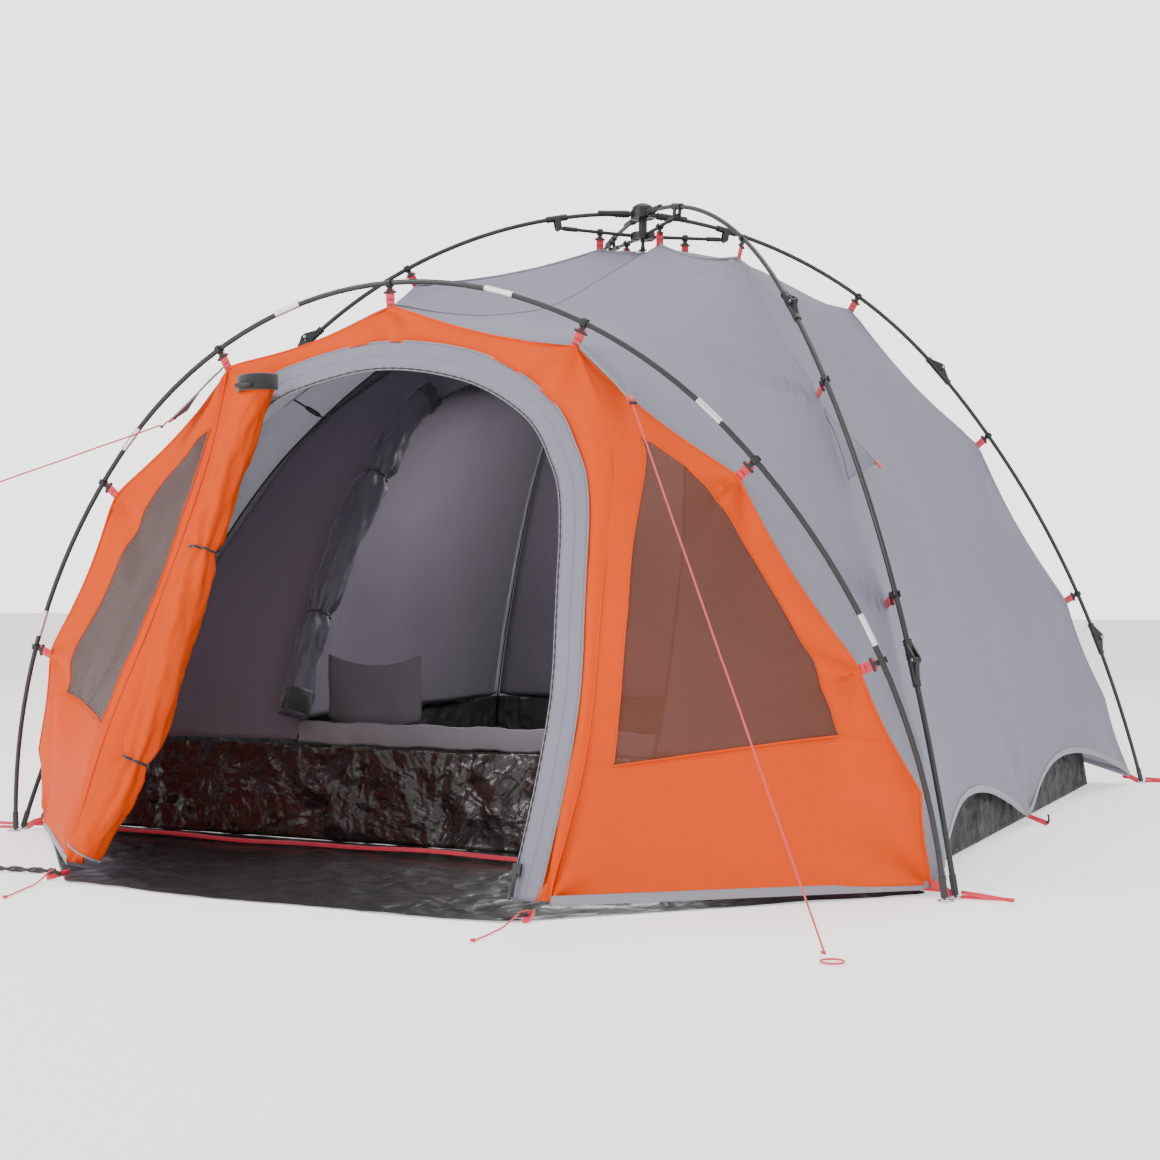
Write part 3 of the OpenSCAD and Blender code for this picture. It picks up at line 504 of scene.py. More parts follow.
guy_right = [(490, -1158, 812), (545, -1206, 718), (600, -1254, 622), (655, -1300, 526), (710, -1348, 430),
             (765, -1394, 334), (820, -1442, 238), (875, -1488, 142), (930, -1535, 46), (952, -1554, 8)]
guy_left = [(-492, -1162, 816), (-540, -1200, 792), (-590, -1240, 768), (-640, -1280, 743),
            (-690, -1320, 719), (-740, -1360, 694), (-790, -1400, 670), (-830, -1432, 650)]
porch_right = [(452, -1462, 15), (450, -1485, 14), (448, -1510, 7), (450, -1540, 2), (454, -1570, 2),
               (458, -1600, 2), (460, -1630, 2), (461, -1650, 2)]
porch_left = [(-482, -1456, 15), (-474, -1480, 14), (-464, -1508, 7), (-452, -1540, 2), (-440, -1570, 2),
              (-428, -1600, 2), (-416, -1630, 2), (-404, -1660, 2)]


def loop(name, center, lean=0.0, turn=0.0):
    """Ring of cord, tipped about Y and turned about Z, in degrees."""
    t = np.linspace(0, 2 * PI, 48, endpoint=False)
    c, s = cos(radians(lean)), sin(radians(lean))
    ring = 16 * np.stack([c * np.cos(t), np.sin(t), -s * np.cos(t)], axis=1)
    return tube(name, turned(ring, turn) + V(*center), 1.5, "red_cord", 10, close=True)


def knot(name, at, wide):
    """Small overhand knot: a closed trefoil."""
    t = np.linspace(0, 2 * PI, 60, endpoint=False)
    k = np.stack([np.sin(t) + 2 * np.sin(2 * t), np.cos(t) - 2 * np.cos(2 * t), -np.sin(3 * t)], axis=1)
    return tube(name, k * wide / 6 + V(*at), wide * 0.22, "red_cord", 8, close=True)


end_right = loop("guy_loop_right", (966, -1566, 2.2))
end_left = loop("guy_loop_left", (-844, -1443, 643), 30, 40)
knot_right = knot("guy_knot_right", (948, -1551, 10), 6)
knot_left = knot("guy_knot_left", (-828, -1430, 651), 6)
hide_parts("guy_end_loops")
cord("guy_cord_right", "guy_line_right", guy_right)
cord("guy_cord_left", "guy_line_left", guy_left)
tip_r = knot("porch_knot_right", (461, -1652, 3.2), 7)
tip_l = knot("porch_knot_left", (-403, -1662, 3.2), 7)
cord("porch_tail_right", "porch_cord_right", porch_right)
cord("porch_tail_left", "porch_cord_left", porch_left)

# ---- frame: CAD parts and small parts on them
def dress(material, *nodes):
    """Give CAD nodes a material."""
    for node in nodes:
        slots = CAD[node].data.materials
        slots.clear()
        slots.append(mat[material])


for key, turn in LEGS:
    dress("pole", f"leg_{key}_upper_pole", f"leg_{key}_middle", f"leg_{key}_lower")
    dress("plastic", f"leg_{key}_upper_fittings", f"strut_{key}")
dress("pole", "arch_pole")
dress("ferrule", "arch_ferrules")
dress("plastic", "hub", "hub_cap", "runner", "pull_knob", "door_zip_slider")
dress("steel", "hub_pins")


def on_leg(arc, s, out, turn=0):
    """Point beside a leg's curve in its own plane: out along the outer normal."""
    p = along(arc, s) + out * outer(arc[1] + arc[3] * s / arc[2])
    return turned(V(p[0], 0, p[1]), turn)


# Ribs round the knuckle sleeves, rivets on their pins, grooves on the hub sockets
for key, turn in LEGS:
    for tag, arc, body in (("a", arc_u, f"leg_{key}_top"), ("b", arc_m, f"leg_{key}_mid")):
        for k, s in enumerate((8, 15, 34, 40)):
            ends = [on_leg(arc, arc[2] - s - past, 0, turn) for past in (0, 2.2)]
            tube(f"rib_{key}_{tag}{k}", ends, 8.2, "plastic", 24, ride=body)
        hub_of = on_leg(arc, arc[2], 14)
        for y in (-8.9, 8.9):
            shank = [turned(hub_of + V(0, y * k, 0), turn) for k in (1, 0.93, 0.86)]
            tube(f"rivet_{key}_{tag}{'n' if y < 0 else 'p'}", shank, [2.2, 3.4, 3.4], "steel", 20, ride=body)
    for k in range(3):
        ends = [on_leg(arc_u, s + 9 * k, 0, turn) for s in (26, 29)]
        tube(f"socket_rib_{key}_{k}", ends, 9.1 - 0.25 * k, "plastic", 24, ride=f"leg_{key}_top")
# Collar and screw on the hub's cap, and a collar on the runner's knob
def circle(r, z):
    return [V(r * cos(t), r * sin(t), z) for t in np.linspace(0, 2 * PI, 64, endpoint=False)]


tube("cap_collar", circle(25.6, 1402.5), 1.5, "plastic", 10, close=True, ride="hub")
tube("cap_screw", [UP * z for z in (1417.0, 1418.9, 1419.6)], [4.5, 4.5, 3.6], "steel", 24, ride="hub")
tube("knob_collar", circle(8.6, 1309), 1.2, "plastic", 8, close=True, ride="runner")
# Pull cord that hangs in a loop below the runner's knob
swing = np.linspace(0, PI, 24)
hanging = [V(-26 * sin(t) ** 1.2 - 3, 6 * sin(2 * t), 1306 - 6.5 * (1 - cos(t)) + 6 * sin(t)) for t in swing]
tube("pull_loop", hanging, 1.1, "black_webbing", 8, ride="runner")

# ---- red tabs and pole clips
def soft_copy(node, material):
    """Put a copy of a CAD node in its place, riding on the tent's body with the fabric."""
    ob = bpy.data.objects.new(f"{node}_copy", CAD[node].data.copy())
    ob.matrix_world = CAD[node].matrix_world.copy()
    ob.data.materials.clear()
    ob.data.materials.append(mat[material])
    bpy.context.collection.objects.link(ob)
    made.append((ob, "tent"))
    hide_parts(node)


def tab(name, pole, direction, face, length=tab_len):
    """Webbing tab from a clip on a pole to the seam, with two lines of stitching across it."""
    clip, width = 11, 18.0
    side = unit(np.cross(direction, face))
    path = [pole + direction * (clip + (length + 4 - clip) * k) for k in np.linspace(0, 1, 10)]
    band = ribbon(name, path, side, width, "red_webbing", 2.2)
    for k, s in enumerate((0.62, 0.92)):
        p = pole + direction * (clip + (length - clip) * s)
        stitch = [p - direction * 0.6, p, p + direction * 0.6]
        ribbon(f"{name}_stitch{k}", stitch, side, width * 0.78, "black_webbing", 2.9)
    return band


soft_copy("pole_clips", "plastic")

# ---- grey fly
EDGE_SAG = 0.034


def seam_edge(t):
    """Seam under the right half of the arch: t counts its points from the top tab to the corner."""
    return scallop(seam, t, EDGE_SAG, (0, -1060, 300))


def ridge_edge(t, turn):
    """Seam under a leg, from the peak to the foot."""
    return scallop([at_turn(q, turn) for q in ridge], t, EDGE_SAG, (0, 0, 350))


def fly_side(name, node, turn, seed):
    """Panel between two legs: taut scallops at its seams, a hollow between, arched cut-outs in its hem."""
    t = np.concatenate([np.linspace(0.1, 5, 66), np.linspace(5, 6, 22)[1:]])
    u = np.linspace(0, 1, 81)
    T, U = grid(t, u)
    w = (np.sin(PI * U) ** 0.75)[..., None]
    a, b = [ridge_edge(t, k)[:, None, :] for k in (-45, 45)]
    sa, sb = [smooth([at_turn(q, k) for q in ridge], t)[:, None, :] for k in (-45, 45)]
    u3 = U[..., None]
    P = (1 - w) * (a * (1 - u3) + b * u3) + w * (sa * (1 - u3) + sb * u3)
    P[..., 0] -= np.interp(T, range(7), [0, 4, 30, 45, 55, 60, 60]) * np.sin(PI * U)
    hem = np.clip(T - 5, 0, 1) ** 1.6
    P[..., 2] += 95 * np.abs(np.sin(2 * PI * U)) ** 0.9 * hem
    P[..., 0] -= 26 * np.abs(np.sin(2 * PI * U)) * hem
    N = normals(P)
    N *= np.sign(N[40, 40, 0])
    anchors = [P[np.argmin(abs(t - k)), j] for k in (2, 3, 4) for j in (0, -1)]
    anchors += [P[-1, 40], P[-1, 0], P[-1, -1]]
    P = pulls(P, N, anchors, 7.0, 230, 6, seed)
    calm = (np.sin(PI * U) ** 0.5)[..., None]
    P += N * (rumple(P, 330, 5.0, seed)[..., None] + rumple(P, 110, 1.3, seed + 3, 2)[..., None]) * calm
    P = turned(P, turn)
    ob = mesh_object(name, P, "grey_fly")
    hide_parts(node)
    piping = ribbon(f"{name}_hem", P[-1], UP, 15, "piping", 2.4)
    panel(P)


fly_side("fly_right_cloth", "fly_right", 0, 1)
fly_side("fly_back_cloth", "fly_back", 90, 2)
fly_side("fly_left_cloth", "fly_left", 180, 3)

# Front panel from the front legs' seams to the arch's seam, one sheet with a seam in the middle
stops = [seam[0], 0.5 * (seam[0] + seam[1]), seam[1], seam[2], seam[3], seam[4], corner]
upper = [V(1, -14, peak_z - 1)] + [at_turn(q, -44.7) for q in ridge[1:]]


def both_sides(points, t):
    """Smooth curve through the points and their mirror images, for t from minus to plus the last index."""
    full = [p * FLIP for p in points[:0:-1]] + list(points)
    return smooth(full, t + len(points) - 1)


t = np.concatenate([-np.linspace(0, 6, 97)[:0:-1], np.linspace(0, 6, 97)])
w = np.linspace(0, 1, 49)
T, W = grid(t, w)
sign = np.where(t < 0, -1.0, 1.0)[:, None] * V(1, 0, 0) + V(0, 1, 1)
low = seam_edge(np.interp(abs(t), [0, 2, 3, 4, 5, 6], range(6))) * sign
high = scallop(upper, abs(t), EDGE_SAG, (0, 0, 350)) * sign
low_s, high_s = both_sides(stops, t), both_sides(upper, t)
g, h = np.sin(PI * W / 2)[..., None] ** 0.6, (W ** 2)[..., None]
w3 = W[..., None]
P = ((1 - g) * high[:, None] + g * high_s[:, None]) * (1 - w3)
P += (h * low[:, None] + (1 - h) * low_s[:, None]) * w3
hollow = np.interp(abs(T), range(7), [70, 65, 55, 38, 22, 8, 0]) * np.sin(PI * W)
P += unit(V(0, -400, 0) - P) * hollow[..., None]
N = normals(P)
N *= np.sign(N[96, 24, 2])
held = [seam[0], seam[1], seam[2], seam[3]] + [seam[i] * FLIP for i in (1, 2, 3)]
held += [at_turn(ridge[i], k) for i in (2, 3, 4) for k in (-45, -135)]
P = pulls(P, N, held, 7.0, 210, 6, 1)
P += N * (rumple(P, 300, 4.0, 9) * np.sin(PI * W) ** 0.6)[..., None]
front = mesh_object("fly_front_cloth", P, "grey_fly")
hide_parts("fly_front_right", "fly_front_left")
middle = tube("fly_front_seam", P[96] + N[96] * 1.0, 1.6, "piping", 8)
panel(P)

# Felled seams along the four ridges, from the peak to the feet
for key, turn in LEGS:
    line = ridge_edge(np.linspace(0.15, 6, 90), turn)
    tube(f"ridge_seam_{key}", line + unit(line - V(0, 0, 350)) * 0.8, 2.6, "grey_fly", 10)
tube("peak_ring", circle(16, 1299.6), 2.2, "piping", 8, close=True)

# Tabs under the struts, the legs and the arch
for key, turn in LEGS:
    side = turned(V(0, 1, 0), turn)
    across = side if key in ("fl", "rr") else turned(V(1, 0, 0), turn)
    strut_tab = tab(f"tab_strut_{key}", turned(V(108, 0, 1343.6), turn), -UP, across, 42)
    for k, (arc, s) in enumerate(leg_tabs):
        out = outer(arc[1] + arc[3] * s / arc[2])
        tab(f"tab_leg_{key}_{k}", on_leg(arc, s, 0, turn), turned(V(-out[0], 0, -out[1]), turn), side)
for k, (arc, s) in enumerate(arch_tabs):
    for m, mirror in SIDES:
        if k or m == "r":
            top, low = on_arch(along(arc, s)) * mirror, on_arch(drop_from(arc, s, tab_len)) * mirror
            tab(f"tab_arch_{k}{m}", top, unit(low - top), V(0, 1, 0.1))
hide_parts("tension_tabs")

# ---- orange porch
def face_curve(pairs, t, forward=0.0):
    """Smooth curve on the porch's front face through [x, z] pairs."""
    return smooth([on_face(q, forward) for q in pairs], t)


def brow(t):
    """Outer edge of the front face: t from 0 at the right foot, 8 at the top, 16 at the left foot."""
    k = np.minimum(t, 16 - t)
    s = 4 * (1 - np.minimum(k, 6.5) / 6.5)
    side = np.where((t > 8)[:, None], smooth(crease_left, s), smooth(crease, s))
    top = seam_edge(1 - (np.maximum(k, 6.5) - 6.5) / 1.5)
    P = np.where((k < 6.5)[:, None], side, top)
    return P * np.where(t > 8, -1.0, 1.0)[:, None] ** V(1, 0, 0)


t = np.unique(np.concatenate([np.linspace(0, 6.5, 66), np.linspace(6.5, 9.5, 61), np.linspace(9.5, 16, 66)]))
w = np.linspace(0, 1, 25)
T, W = grid(t, w)
w3 = W[..., None]
inner_edge = face_curve(binding_out + left_edge[::-1], t)
outer_edge = brow(t)
P = inner_edge[:, None] * (1 - w3) + outer_edge[:, None] * w3
N = normals(P)
N *= -np.sign(N[10, 12, 1])
P = pulls(P, N, [seam[0], seam[1], seam[1] * FLIP, crease[-1], crease[-1] * FLIP], 8.0, 170, 7, 2)
P += N * ((rumple(P, 150, 3.0, 5) + 5 * np.sin(PI * W)) * np.sin(PI * W) ** 0.5)[..., None]
face = mesh_object("porch_front_cloth", P, "orange_fly")
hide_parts("porch_face")
edge = tube("porch_crease_seam", P[:, -1] + N[:, -1] * 0.5, 1.8, "orange_fly", 8)
inside_fold = tube("porch_door_fold", P[:, 0] + N[:, 0] * 1.0, 1.8, "orange_fly", 8)
panel(P)


def side_point(u, t, front):
    """Point on the porch's side: u from the crease to the arch's seam, t from the top down."""
    c = smooth(front, 4 * t)
    e = scallop([seam[1], seam[2], seam[3], seam[4], corner], 4 * t, EDGE_SAG, (0, -1060, 300))
    return c * (1 - u)[..., None] + e * u[..., None]


def window_grid(rows, cols, front, near, far):
    """Points in rows and columns from 0 to 3. The window is from 1 to 2 and its edges follow near and far."""
    s = np.clip(rows - 1, 0, 1)
    near, far = smooth(near, 4 * s), smooth(far, 4 * s)
    R, C = grid(rows, cols)
    n, f = near[:, None], far[:, None]
    left = np.clip(C, 0, 1)[..., None]
    mid = np.clip(C - 1, 0, 1)[..., None]
    right = np.clip(C - 2, 0, 1)[..., None]
    zero, one = n * V(0, 1), f * V(0, 1) + V(1, 0)
    beyond = np.where(C[..., None] <= 2, n * (1 - mid) + f * mid, f * (1 - right) + one * right)
    Q = np.where(C[..., None] <= 1, zero * (1 - left) + n * left, beyond)
    up, down = np.clip(1 - R, 0, 1), np.clip(R - 2, 0, 1)
    return side_point(Q[..., 0], Q[..., 1] * (1 - up) * (1 - down) + down, front), R, C


def porch_side(tag, mirror, seed, *shape):
    """Orange side with its window, a separate sheet of netting."""
    rows, cols = [np.concatenate([np.linspace(0, 1, a), np.linspace(1, 2, b)[1:], np.linspace(2, 3, c)[1:]])
                  for a, b, c in ((14, 50, 22), (16, 30, 14))]
    P, R, C = window_grid(rows, cols, *shape)
    N = normals(P)
    N *= np.sign(N[30, 20, 0])
    P = pulls(P, N, [seam[1], seam[2], seam[3], corner, crease[-1]], 9.0, 190, 7, seed)
    calm = np.minimum(np.clip(C, 0, 1), np.clip(3 - C, 0, 1)) * np.clip(3 - R, 0, 1) * np.clip(R + 0.2, 0, 1)
    P += N * ((rumple(P, 160, 5.0, seed) + rumple(P, 55, 1.3, seed + 2, 2) + 3) * calm)[..., None]
    P, M = P * mirror, N * mirror
    hole = (R >= 1) & (R <= 2) & (C >= 1) & (C <= 2)
    window = hole[:-1, :-1] & hole[1:, 1:]
    wide = len(cols)
    cells = [[(k, k + 1, k + wide + 1, k + wide) for k in (np.argwhere(w) @ (wide, 1)).tolist()]
             for w in (~window, window)]
    cloth_ = build(f"porch_side_cloth_{tag}", P.reshape(-1, 3) * MM, cells[0], "orange_fly", 0.0009)
    # The left window takes the darker copy of the netting, which is painted shade.
    net_cloth = "mesh" if tag == "r" else "mesh_painted_shade"
    net = build(f"porch_window_{tag}", P.reshape(-1, 3) * MM, cells[1], net_cloth, 0.0006)
    i0, i1 = np.argmin(abs(rows - 1)), np.argmin(abs(rows - 2))
    j0, j1 = np.argmin(abs(cols - 1)), np.argmin(abs(cols - 2))
    rim = P + M * 0.6
    ring = np.concatenate([rim[i0, j0:j1], rim[i0:i1, j1], rim[i1, j1:j0:-1], rim[i1:i0:-1, j0]])
    a = tube(f"window_seam_{tag}", ring, 1.7, "orange_fly", 8, close=True)
    b = tube(f"band_seam_{tag}", P[i1] + M[i1] * 0.5, 1.4, "orange_fly", 8)
    hem = ribbon(f"porch_hem_{tag}", P[-1], UP, 16, "piping", 2.6)
    top = tube(f"porch_edge_{tag}", P[:, -1] + M[:, -1] * 0.5, 2.2, "orange_fly", 8)
    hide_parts(f"porch_side_{'right' if tag == 'r' else 'left'}")
    panel(P, ~window)
    panel(P, share=window)
    return net


pane = porch_side("r", V(1, 1, 1), 11, crease, window_near, window_far)
porch_side("l", FLIP, 12, crease_left, window_near_left, window_far_left)
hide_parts("porch_windows")

# Zip binding round the door, grey, in two tones with a zip along its inner edge
t = np.linspace(0, 10, 200)
w = np.linspace(0, 1, 9)
a = face_curve(binding_out + [left_edge[7], left_edge[6]], t, 2.5)
b = face_curve(binding_in + [(-176, 868), (-258, 828)], t, 2.5)
P = (a[:, None] * (1 - (w * 1.04 - 0.04)[:, None]) + b[:, None] * (w * 1.04 - 0.04)[:, None])
P[..., 1] -= (2.0 * np.sin(PI * w))[None] + rumple(P, 60, 1.2, 21, 2)
strip = mesh_object("door_binding_cloth", P, "grey_fly")
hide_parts("door_binding")
line_a = tube("binding_stitch", P[:, 4] - V(0, 1.2, 0), 1.1, "piping", 6)
line_b = tube("binding_edge", P[:, 0] - V(0, 0.8, 0), 1.4, "piping", 6)
zipper = ribbon("door_zip_tape", P[:, -1] - V(0, 0.5, 0), P[:, -1] - P[:, -2], 7, "piping", 2.6)
coil_line = P[:, -1] - V(0, 1.4, 0)
coil = tube("door_zip_coil", coil_line, lambda i, a: 1.7 + 0.45 * cos(PI * i), "black_webbing", 8)
panel(P)


# ---- rolled doors
def roll(name, centre, base, ties, material, seed, turns):
    """Cloth wound round a path: a spiral in section, with folds along it, drawn in at its ties."""
    around, steps = 44, 150
    path = smooth(centre, np.linspace(0, len(centre) - 1, steps))
    f = np.concatenate([[0], np.cumsum(lengths(np.diff(path, axis=0)))])
    f /= f[-1]
    side, other = frames(path)
    a = 2 * PI * np.arange(around) / around
    fold = np.array([[0.22 * noise.noise(q) + 0.12 * noise.noise(q * 2.7) + 0.05 * noise.noise(q * 6) for q in
                      [Vector((cos(b) * 1.3 + seed, sin(b) * 1.3, g * 9)) for b in a]] for g in f])
    near = sum(np.exp(-((f - k) / 0.11) ** 2) for k in ties)
    pinch = sum(np.exp(-((f - k) / 0.022) ** 2) for k in ties)
    fold += near[:, None] * 0.16 * np.cos(7 * a[None] + 14 * f[:, None] + seed)
    fold += 0.07 * np.sin(9 * f + seed)[:, None]
    j = np.arange(turns * around + 1)
    wind = 0.22 + 0.78 * j / j[-1]
    r = base * wind * (1 + fold[:, j % around]) * (1 - 0.3 * pinch)[:, None]
    b = 2 * PI * j / around + seed
    c, s = np.cos(b)[None, :, None], np.sin(b)[None, :, None]
    P = path[:, None] + r[..., None] * (c * side[:, None] + s * other[:, None])
    ob = mesh_object(name, P, material, thick=0.0008)
    bands = []
    for k, s in enumerate(ties):
        i = int(np.argmin(abs(f - s)))
        ring = P[i, -around:] + (P[i, -around:] - path[i]) * 0.04
        bands.append(tube(f"{name}_tie{k}", ring, 2.4, "black_webbing", 8, close=True))
    return ob, P, path, bands


door_line = [(-240, 876), (-260, 765), (-284, 610), (-305, 430), (-328, 250), (-364, 140), (-408, 50)]
door_path = [on_face(q, 42) for q in door_line]
door, P, path, bands = roll("door_roll_cloth", door_path, 33, (0.36, 0.8), "orange_fly", 3, 6)
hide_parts("door_roll")
hem = tube("door_roll_hem", P[-1], 1.8, "piping", 8)
flap = tube("door_roll_edge", P[:, -1], 1.2, "orange_fly", 8)
panel(P)

# Slider of the zip: its pull tab
low, up = on_face((416, 60)), on_face((424, 329))
lean = unit(up - low)
pull = [low - V(0, 16, 0) - lean * k for k in (0, 14, 30)]
ribbon("zip_pull_tape", pull, V(1, 0, 0), 7, "black_webbing", 2.0, ride="zip_slider")

# Strap with a toggle that holds the top of the rolled door
top = on_face((-240, 878), 42)
wrap = [top + V(36 * cos(a), 40 * sin(a), 3 * cos(a)) for a in np.linspace(0.9 * PI, 2.1 * PI, 40)]
buckle = ribbon("door_strap", wrap, UP, 30, "black_webbing", 2.4)
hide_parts("toggles")
tube("door_toggle", [top + V(x, -44, -6) for x in (-18, -8, 8, 18)], [3.6, 4.8, 4.8, 3.6], "plastic", 16)

# ---- vent hoods
def hood(tag, a, b, tip, out, seed):
    """Two layers of cloth over a vent, held out at the tip: light above, dark below."""
    R, C = grid(np.linspace(0, 1, 18), np.linspace(0, 1, 18))
    base = a * (1 - C)[..., None] + b * C[..., None]
    P = base * (1 - R * 0.985)[..., None] + tip * (R * 0.985)[..., None]
    dome = 9 * np.sin(PI * C) * (1 - R)
    P = P + out * (dome + rumple(P, 60, 1.5, seed, 2))[..., None]
    upper_ = mesh_object(f"hood_{tag}", P, "grey_fly", thick=0.0007)
    lower = mesh_object(f"hood_lining_{tag}", P - out * 2.2, "hood_cloth", thick=0.0007)
    sides = [tube(f"hood_edge_{tag}{k}", P[:, j], 1.8, "piping", 8) for k, j in ((0, 0), (1, -1))]
    panel(P)
    panel(P)
    return upper_


for tag, m, line in (("arch_r", V(1, 1, 1), "guy_cord_right"), ("arch_l", FLIP, "guy_cord_left")):
    a, b = seam[1] + V(8, -6, 3), (seam[1] * 0.68 + seam[2] * 0.32) + V(4, -8, 2)
    h = hood(tag, a * m, b * m, guy_tip * m, UP, 31)
    if m[0] > 0:
        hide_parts("vent_hoods")
    turn_over = [(guy_tip + p) * m for p in (V(-6, 14, 8), V(2, -2, 1), V(8, -8, -10))]
    ribbon(f"hood_tab_{tag}", turn_over, V(0.7, 0.7, 0) * m, 16, "red_webbing", 2.2)
    bar = [(guy_tip + p) * m for p in (V(4, -12, -8), V(14, -4, -8))]
    tube(f"hood_toggle_{tag}", bar, 2.6, "plastic", 10)
for side, m in SIDES:
    a = at_turn(ridge[3], -45) + V(8, 0, -20)
    b = at_turn(ridge[3] * 0.58 + ridge[4] * 0.42, -45) + V(8, 0, 0)
    tip = at_turn(ridge[3] * 0.64 + ridge[4] * 0.36, -45) + V(66, 16, 8)
    hood(f"side_{side}", a * m, b * m, tip * m, V(0.5, -0.3, 0.8) * m, 33)
    turn_over = [(tip + p) * m for p in (V(-4, 0, 4), V(0, 0, 0), V(6, 2, -10))]
    ribbon(f"hood_tab_side_{side}", turn_over, V(0.2, 1, 0) * m, 14, "red_webbing", 2.2)

# ---- hanging cabin
def cabin_corner(z):
    """Distance of the cabin's corner from the middle at a height."""
    q = np.array([[p[1], p[0]] for p in cabin_ridge][::-1])
    return float(np.interp(z, q[:, 0], q[:, 1]))


cabin_levels = [194, 400, 640, 850, 1000, 1120, 1200]
cabin_half = 1 / sqrt(2)


def on_cabin(x, z, forward=0.0):
    return V(x, -cabin_corner(z) * cabin_half - forward, z)


def cabin_sheet(name, turn, seed):
    """Plain wall of the cabin, hanging with a few slack folds."""
    t = np.linspace(0, 4, 60)
    u = np.linspace(0, 1, 61)
    T, U = grid(t, u)
    a = smooth([at_turn(q, -44.8) for q in cabin_ridge], t)[:, None]
    b = smooth([at_turn(q, 44.8) for q in cabin_ridge], t)[:, None]
    u3 = U[..., None]
    P = a * (1 - u3) + b * u3
    P[..., 0] -= 8 * T * np.sin(PI * U)
    N = normals(P)
    N *= np.sign(N[30, 30, 0])
    hang = 5 * np.sin(PI * U * 9 + np.sin(T * 2) + seed) * (T / 4) * np.sin(PI * U)
    P += N * ((rumple(P, 260, 7.0, seed) * np.sin(PI * U) + hang) * 0.9)[..., None]
    P = turned(P, turn)
    ob = mesh_object(name, P, "cabin_cloth", thick=0.0007)
    panel(P)
    return ob


right_wall = cabin_sheet("cabin_right_cloth", 0, 41)
cabin_sheet("cabin_left_cloth", 180, 42)
back_wall = cabin_sheet("cabin_back_cloth", 90, 43)
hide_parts("cabin_sides")
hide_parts("cabin_back")

# Front wall with the door's opening, one sheet that arches over it
t = np.linspace(0, 12, 133)
outside = both_sides([at_turn(V(cabin_corner(z), z), -45.2) for z in cabin_levels][::-1], 6 - t)
opening = both_sides([on_cabin(*q) for q in cabin_door][::-1], 6 - t)
w3 = np.linspace(0, 1, 31)[None, :, None]
P = outside[:, None] * (1 - w3) + opening[:, None] * w3
N = normals(P)
N *= -np.sign(N[20, 15, 1])
P += N * (rumple(P, 230, 8.0, 44) * np.sin(PI * w3[..., 0]) ** 0.5)[..., None]
front_wall = mesh_object("cabin_front_cloth", P, "cabin_cloth", thick=0.0007)
edge_line = P[:, -1] + N[:, -1]
door_edge = tube("cabin_door_zip", edge_line, lambda i, a: 2.6 + 0.4 * cos(PI * i), "black_webbing", 8)
ridge_line = smooth([at_turn(q, 0) for q in cabin_ridge], np.linspace(0, 4, 60))
rims = [tube(f"cabin_seam_{key}", turned(ridge_line, turn), 2.6, "black_webbing", 8) for key, turn in LEGS]
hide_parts("cabin_front")
panel(P)

# Rolled cabin door with a dark strap at its top and a bound end
inner_line = [(-262, 930), (-300, 850), (-345, 640), (-372, 440), (-388, 250)]
inner_path = [on_cabin(x, z, 48) for x, z in inner_line]
inner_roll, P, path, bands = roll("cabin_roll_cloth", inner_path, 35, (0.30, 0.72), "roll_cloth", 4, 4)
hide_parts("cabin_door_roll")
for tag, ends in (("top", slice(1, 13)), ("foot", slice(-11, -1))):
    rows = np.concatenate([P[ends, -44:], P[ends, -44:-43]], axis=1)
    rows += (rows - path[ends, None]) * 0.07
    mesh_object(f"cabin_roll_strap_{tag}", rows, "black_webbing", thick=0.0012)
panel(P)

# Sill binding along the bottom of the door, puckered, and the seam above the tub
t = np.linspace(0, 1, 120)
sill_z = 215 + 1.6 * np.sin(t * 37) + 0.5 * np.sin(t * 110)
sill = np.stack([-396 + 792 * t, on_cabin(0, 206)[1] + 0.8 * np.sin(t * 90), sill_z], axis=1)
band = ribbon("cabin_sill_band", sill, V(0, 0.12, 1), 44, "cabin_trim", 3.0)
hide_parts("cabin_sill")
for k, turn in enumerate((0, 90, 180)):
    rim = np.stack([850 + 0 * t, -850 + 1700 * t, 190 + 0 * t], axis=1)
    ribbon(f"tub_binding_{k}", turned(rim, turn), UP, 14, "piping", 2.4)

# Pouch on the front wall, left of the door
q = np.linspace(0, 1, 25)
R, C = grid(q, q)
pouch_y = on_cabin(0, 300)[1] + 26 - 14 * np.sin(PI * C) * R
pouch = np.stack([-360 + 220 * C, pouch_y, 372 - 88 * C * (1 - C) - 130 * R], axis=-1)
slack = rumple(pouch, 60, 3.0, 47, 2)[..., None] * V(0, 1, 0)
pocket = mesh_object("cabin_pouch", pouch + slack, "hood_cloth", thick=0.0008)
panel(pouch)

# Crinkled tub walls: flat at the corners, slack between
for k, turn in enumerate((-90, 0, 90, 180)):
    u = np.linspace(0, 1, 150)
    v = np.linspace(0, 1, 26)
    U, Vv = grid(u, v)
    r = 848 * (1 - Vv) + 873 * Vv
    P = np.stack([r + 3, r * (2 * U - 1), 190 - 187 * Vv], axis=-1)
    calm = np.sin(PI * U) ** 0.3 * np.sin(PI * Vv) ** 0.4
    crush = rumple(P, 70, 9.0, 50 + k, 4)
    crush += 7 * np.sin(U * 120 + 3 * np.sin(Vv * 4 + U * 30)) * Vv * (1 - Vv)
    P[..., 0] += crush * calm - 3
    P = turned(P, turn)
    wall = mesh_object(f"tub_wall_{k}", P, "tub_dull" if k else "tub", thick=0.0006)
    panel(P)
    if k == 0:
        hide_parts("tub_walls")

